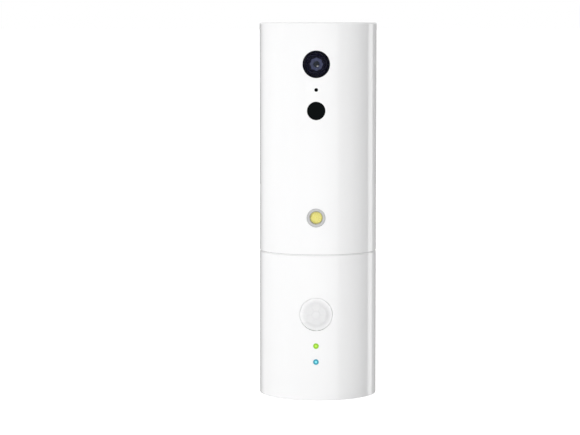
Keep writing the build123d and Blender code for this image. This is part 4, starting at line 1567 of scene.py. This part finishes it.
@dataclass
class Inside:
    """The nodes that keep their own meshes, and the finish of each."""

    finishes: dict[Finish, tuple[str, ...]] = field(
        default_factory=lambda: {
            SATIN_WHITE: ("turret_plate", "base_plate"),
            INNER_BLACK: (
                "head_frame",
                "base_tray",
                "battery_clamp",
                "port_panel",
                "pir_ring",
                "usb_socket",
                "card_socket",
            ),
            CAMERA_BLACK: ("lens_holder",),
            SCREW_STEEL: ("turret_screws", "base_screws", "board_screws"),
            SPRING_STEEL: ("swivel_clip", "door_pin"),
            BOARD_GREEN: ("main_board", "camera_board", "sensor_board", "port_board"),
            ALUMINIUM: ("flash_heat_sink", "flash_board"),
            TIN_PLATE: ("processor_shield", "pir_sensor"),
            CERAMIC: ("wifi_antenna",),
            PLUG_WHITE: ("harness_plug", "light_guide"),
            FILTER_GLASS: ("ir_filter",),
            CHIP_BLACK: ("image_sensor", "microphone", "light_sensor", "reset_switch", "power_switch"),
            FOAM_BLACK: ("lens_gasket", "speaker_gasket"),
            RUBBER_BLACK: ("microphone_boot",),
            SPEAKER_BLACK: ("speaker",),
            GRILLE_CLOTH: ("speaker_mesh",),
            BEARING_WHITE: ("swivel_bushing", "swivel_washer"),
            BATTERY_WRAP: ("battery",),
            WIRE_JACKET: ("wire_harness",),
            LED_CERAMIC: ("status_leds",),
            BUTTON_GREY: ("reset_button",),
        }
    )

    def build(self) -> None:
        """Give each node its finish."""
        for finish, names in self.finishes.items():
            for name in names:
                dress(bpy.data.objects[name], finish)
                LOG.info("%s: finish %s", name, finish.name)


@dataclass(frozen=True)
class Lamp:
    """A soft lamp, placed by its bearing round the camera's stand, that the viewpoint doesn't see."""

    name: str
    bearing: float
    rise: float
    distance: float
    width: float
    height: float
    power: float
    shape: LampShape = LampShape.PANEL

    def build(self, aim: Sequence[float] = (0.0, 0.0, 0.0)) -> None:
        """Build the lamp, which no gloss shows.

        Args:
            aim: The point it faces.
        """
        self.hang(aim).visible_glossy = False

    def hang(self, aim: Sequence[float]) -> bpy.types.Object:
        """Hang the lamp where it faces a point.

        Args:
            aim: The point.

        Returns:
            The lamp.
        """
        light = bpy.data.lights.new(self.name, "AREA")
        light.shape = self.shape.value
        light.size = self.width
        light.size_y = self.height
        light.energy = self.power
        made = bpy.data.objects.new(self.name, light)
        away = outward(self.bearing, self.rise)
        made.location = Vector(aim) + away * self.distance
        made.rotation_euler = away.to_track_quat("Z", "Y").to_euler()
        made.visible_camera = False
        bpy.context.scene.collection.objects.link(made)
        return made


@dataclass(frozen=True)
class Card:
    """A curved card that only gloss sees, which gives the casing's gloss its upright edges.

    Its edges are bearings on the casing, where the photograph's viewpoint sees them mirrored.
    """

    name: str
    start: float
    end: float
    level: float
    distance: float = 60 * MM
    casing: float = CASING_RADIUS
    steps: int = 24
    low: float = -0.3
    high: float = 0.1185

    def bearing(self, seen: float) -> float:
        """Bearing of the card's edge, in radians, for the bearing in degrees where it is seen."""
        normal = math.radians(seen)
        return 2 * normal - math.asin(self.casing * math.sin(normal) / self.distance)

    def build(self) -> None:
        """Build the card round the camera's stand."""
        shape = Shape()
        start, end = self.bearing(self.start), self.bearing(self.end)
        turn = Matrix.Rotation(start - math.pi / 2, 4, "Z")
        corners = [turn @ Vector((self.distance, 0, height)) for height in (self.low, self.high)]
        verts = [shape.bm.verts.new(corner) for corner in corners]
        shape.sweep([*verts, shape.bm.edges.new(verts)], end - start, self.steps)
        show_to_gloss(shape.piece(self.name), self.level)


@dataclass(frozen=True)
class Sparkle(Lamp):
    """A small far lamp that only the lenses mirror, as a bright point in each."""

    name: str = "lamp_sparkle"
    bearing: float = 4.3
    rise: float = -12.0
    distance: float = 8.0
    width: float = 0.7
    height: float = 0.7
    power: float = 75.0
    shape: LampShape = LampShape.DISC
    mirrors: tuple[str, ...] = ("lens_front_glass", "motion_sensor_dome")

    def build(self, aim: Sequence[float] = (0.0, 0.0, 0.0)) -> None:
        """Build the lamp, once the lenses are there.

        Args:
            aim: The point it faces.
        """
        made = self.hang(aim)
        made.visible_diffuse = False
        lenses = bpy.data.collections.new("lenses")
        for name in self.mirrors:
            lenses.objects.link(bpy.data.objects[name])
        made.light_linking.receiver_collection = lenses
        made.light_linking.blocker_collection = lenses


def outward(bearing: float, rise: float) -> Vector:
    """Direction away from the camera's stand, by a bearing from the front and a rise, in degrees."""
    around, up = math.radians(bearing), math.radians(rise)
    return Vector((math.sin(around) * math.cos(up), -math.cos(around) * math.cos(up), math.sin(up)))


def show_to_gloss(made: bpy.types.Object, level: float) -> None:
    """Make a card shine at a level that nothing but gloss sees."""
    graph = Graph(made.name)
    glow = graph.add("ShaderNodeEmission", {}, {"Color": (level,) * 3, "Strength": 1.0})
    graph.tree.links.new(glow.socket, graph.output.inputs["Surface"])
    made.data.materials.append(graph.material)
    made.visible_camera = False
    made.visible_diffuse = False
    made.visible_shadow = False
    made.visible_transmission = False


@dataclass
class Studio:
    """Pale floor, white surroundings, soft lamps and the photograph's viewpoint."""

    aim: Vector = field(default_factory=lambda: Vector((0, 0, 59 * MM)))
    distance: float = 748.2 * MM
    bearing: float = 1.852
    eye_height: float = 120 * MM
    pitch: float = 4.883
    yaw: float = 0.682
    lens: float = 146.5
    fill: float = 0.33
    floor_size: float = 40.0
    floor_glow: float = 0.88
    floor_shade: float = 0.99
    speckle: float = 2 * MM
    floor_colour: Colour = (0.94, 0.94, 0.94)
    lamps: tuple[Lamp, ...] = (
        Lamp("lamp_left", -98, 8, 0.8, 0.4, 0.8, 2.6),
        Lamp("lamp_front_left", -16, 12, 0.8, 0.4, 0.8, 2.58),
        Lamp("lamp_front", 9, 12, 0.8, 0.4, 0.8, 1.45),
        Lamp("lamp_low", -8, -12, 0.2, 0.12, 0.02, 0.04),
        Lamp("lamp_right", 64, 4, 0.8, 0.4, 0.9, 0.8),
        Lamp("lamp_back_left", -140, 15, 0.8, 0.4, 0.9, 0.4),
        Lamp("lamp_back", 180, 14, 0.9, 0.5, 0.8, 3.2),
        Lamp("lamp_top", 0, 88, 0.9, 0.6, 0.6, 0.55),
    )
    cards: tuple[Card, ...] = (
        Card("card_left_pale", -71, -67, 0.75),
        Card("card_left_mid", -75, -71, 0.5),
        Card("card_left_dark", -89, -75, 0.33),
        Card("card_right_dark", 21, 59.6, 0.1),
        Card("card_strip", 59.6, 68.8, 1.9),
        Card("card_right_edge", 68.8, 86, 0.5),
    )

    def build(self) -> None:
        """Build the surroundings."""
        self._world()
        self._floor()
        self._camera()
        for lamp in self.lamps:
            lamp.build(self.aim)
        for card in self.cards:
            card.build()

    def _seen(self, tree: bpy.types.NodeTree) -> bpy.types.NodeSocket:
        """A socket that is 1 for what the camera, gloss and glass see, and 0 for light."""
        path = tree.nodes.new("ShaderNodeLightPath")
        total = path.outputs["Is Camera Ray"]
        for name in ("Is Glossy Ray", "Is Transmission Ray"):
            node = tree.nodes.new("ShaderNodeMath")
            node.operation = "MAXIMUM"
            tree.links.new(total, node.inputs[0])
            tree.links.new(path.outputs[name], node.inputs[1])
            total = node.outputs[0]
        return total

    def _world(self) -> None:
        """Build the world: white where it is seen, and softer where it only lights."""
        world = bpy.data.worlds.new("white")
        bpy.context.scene.world = world
        world.use_nodes = True
        tree = world.node_tree
        ground = tree.nodes["Background"]
        level = tree.nodes.new("ShaderNodeMapRange")
        level.inputs["To Min"].default_value = self.fill
        level.inputs["To Max"].default_value = 1.0
        tree.links.new(self._seen(tree), level.inputs["Value"])
        tree.links.new(level.outputs["Result"], ground.inputs["Strength"])
        ground.inputs["Color"].default_value = (1, 1, 1, 1)

    def _floor(self) -> None:
        """Build the floor, which is white to the eye and keeps a faint shadow."""
        shape = Shape()
        bmesh.ops.create_grid(shape.bm, x_segments=8, y_segments=8, size=self.floor_size / 2)
        made = shape.piece("floor")
        graph = Graph("floor_paper")
        speckles = graph.noise(self.speckle, detail=3.0)
        darker = scaled(self.floor_colour, self.floor_shade)
        graph.surface(
            Base_Color=graph.mix(speckles, darker, self.floor_colour),
            Roughness=0.9,
            Specular_IOR_Level=0.1,
            Emission_Color=(1.0, 1.0, 1.0),
            Emission_Strength=Term(graph, self._seen(graph.tree)) * self.floor_glow,
        )
        made.data.materials.append(graph.material)
        made.visible_glossy = False

    def _camera(self) -> None:
        """Build the viewpoint."""
        lens = bpy.data.cameras.new("viewpoint")
        lens.lens = self.lens
        lens.sensor_width = 36.0
        lens.clip_start = 0.01
        lens.clip_end = 200.0
        made = bpy.data.objects.new("viewpoint", lens)
        around = math.radians(self.bearing)
        made.location = (math.sin(around) * self.distance, -math.cos(around) * self.distance, self.eye_height)
        made.rotation_euler = (math.radians(90 - self.pitch), 0, math.radians(self.bearing + self.yaw))
        bpy.context.scene.collection.objects.link(made)
        bpy.context.scene.camera = made


def main() -> None:
    """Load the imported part, dress it and light it."""
    logging.basicConfig(level=logging.INFO, format="%(name)s: %(message)s")
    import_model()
    view = bpy.context.scene.view_settings
    view.view_transform = "Standard"
    groups = (
        Studio(),
        HeadCasing("head", "head_casing", "head_shell"),
        BaseCasing("base", "base_casing", "base_shell"),
        CameraEye(),
        SmallEyes(),
        TorchLight(),
        MotionDome(),
        StatusLights(),
        PowerButton(),
        PortDoor(),
        PortBay(),
        Underside(),
        Inside(),
        Sparkle(),
    )
    for group in groups:
        group.build()
        LOG.info("%s built", type(group).__name__)


if __name__ == "__main__":
    main()
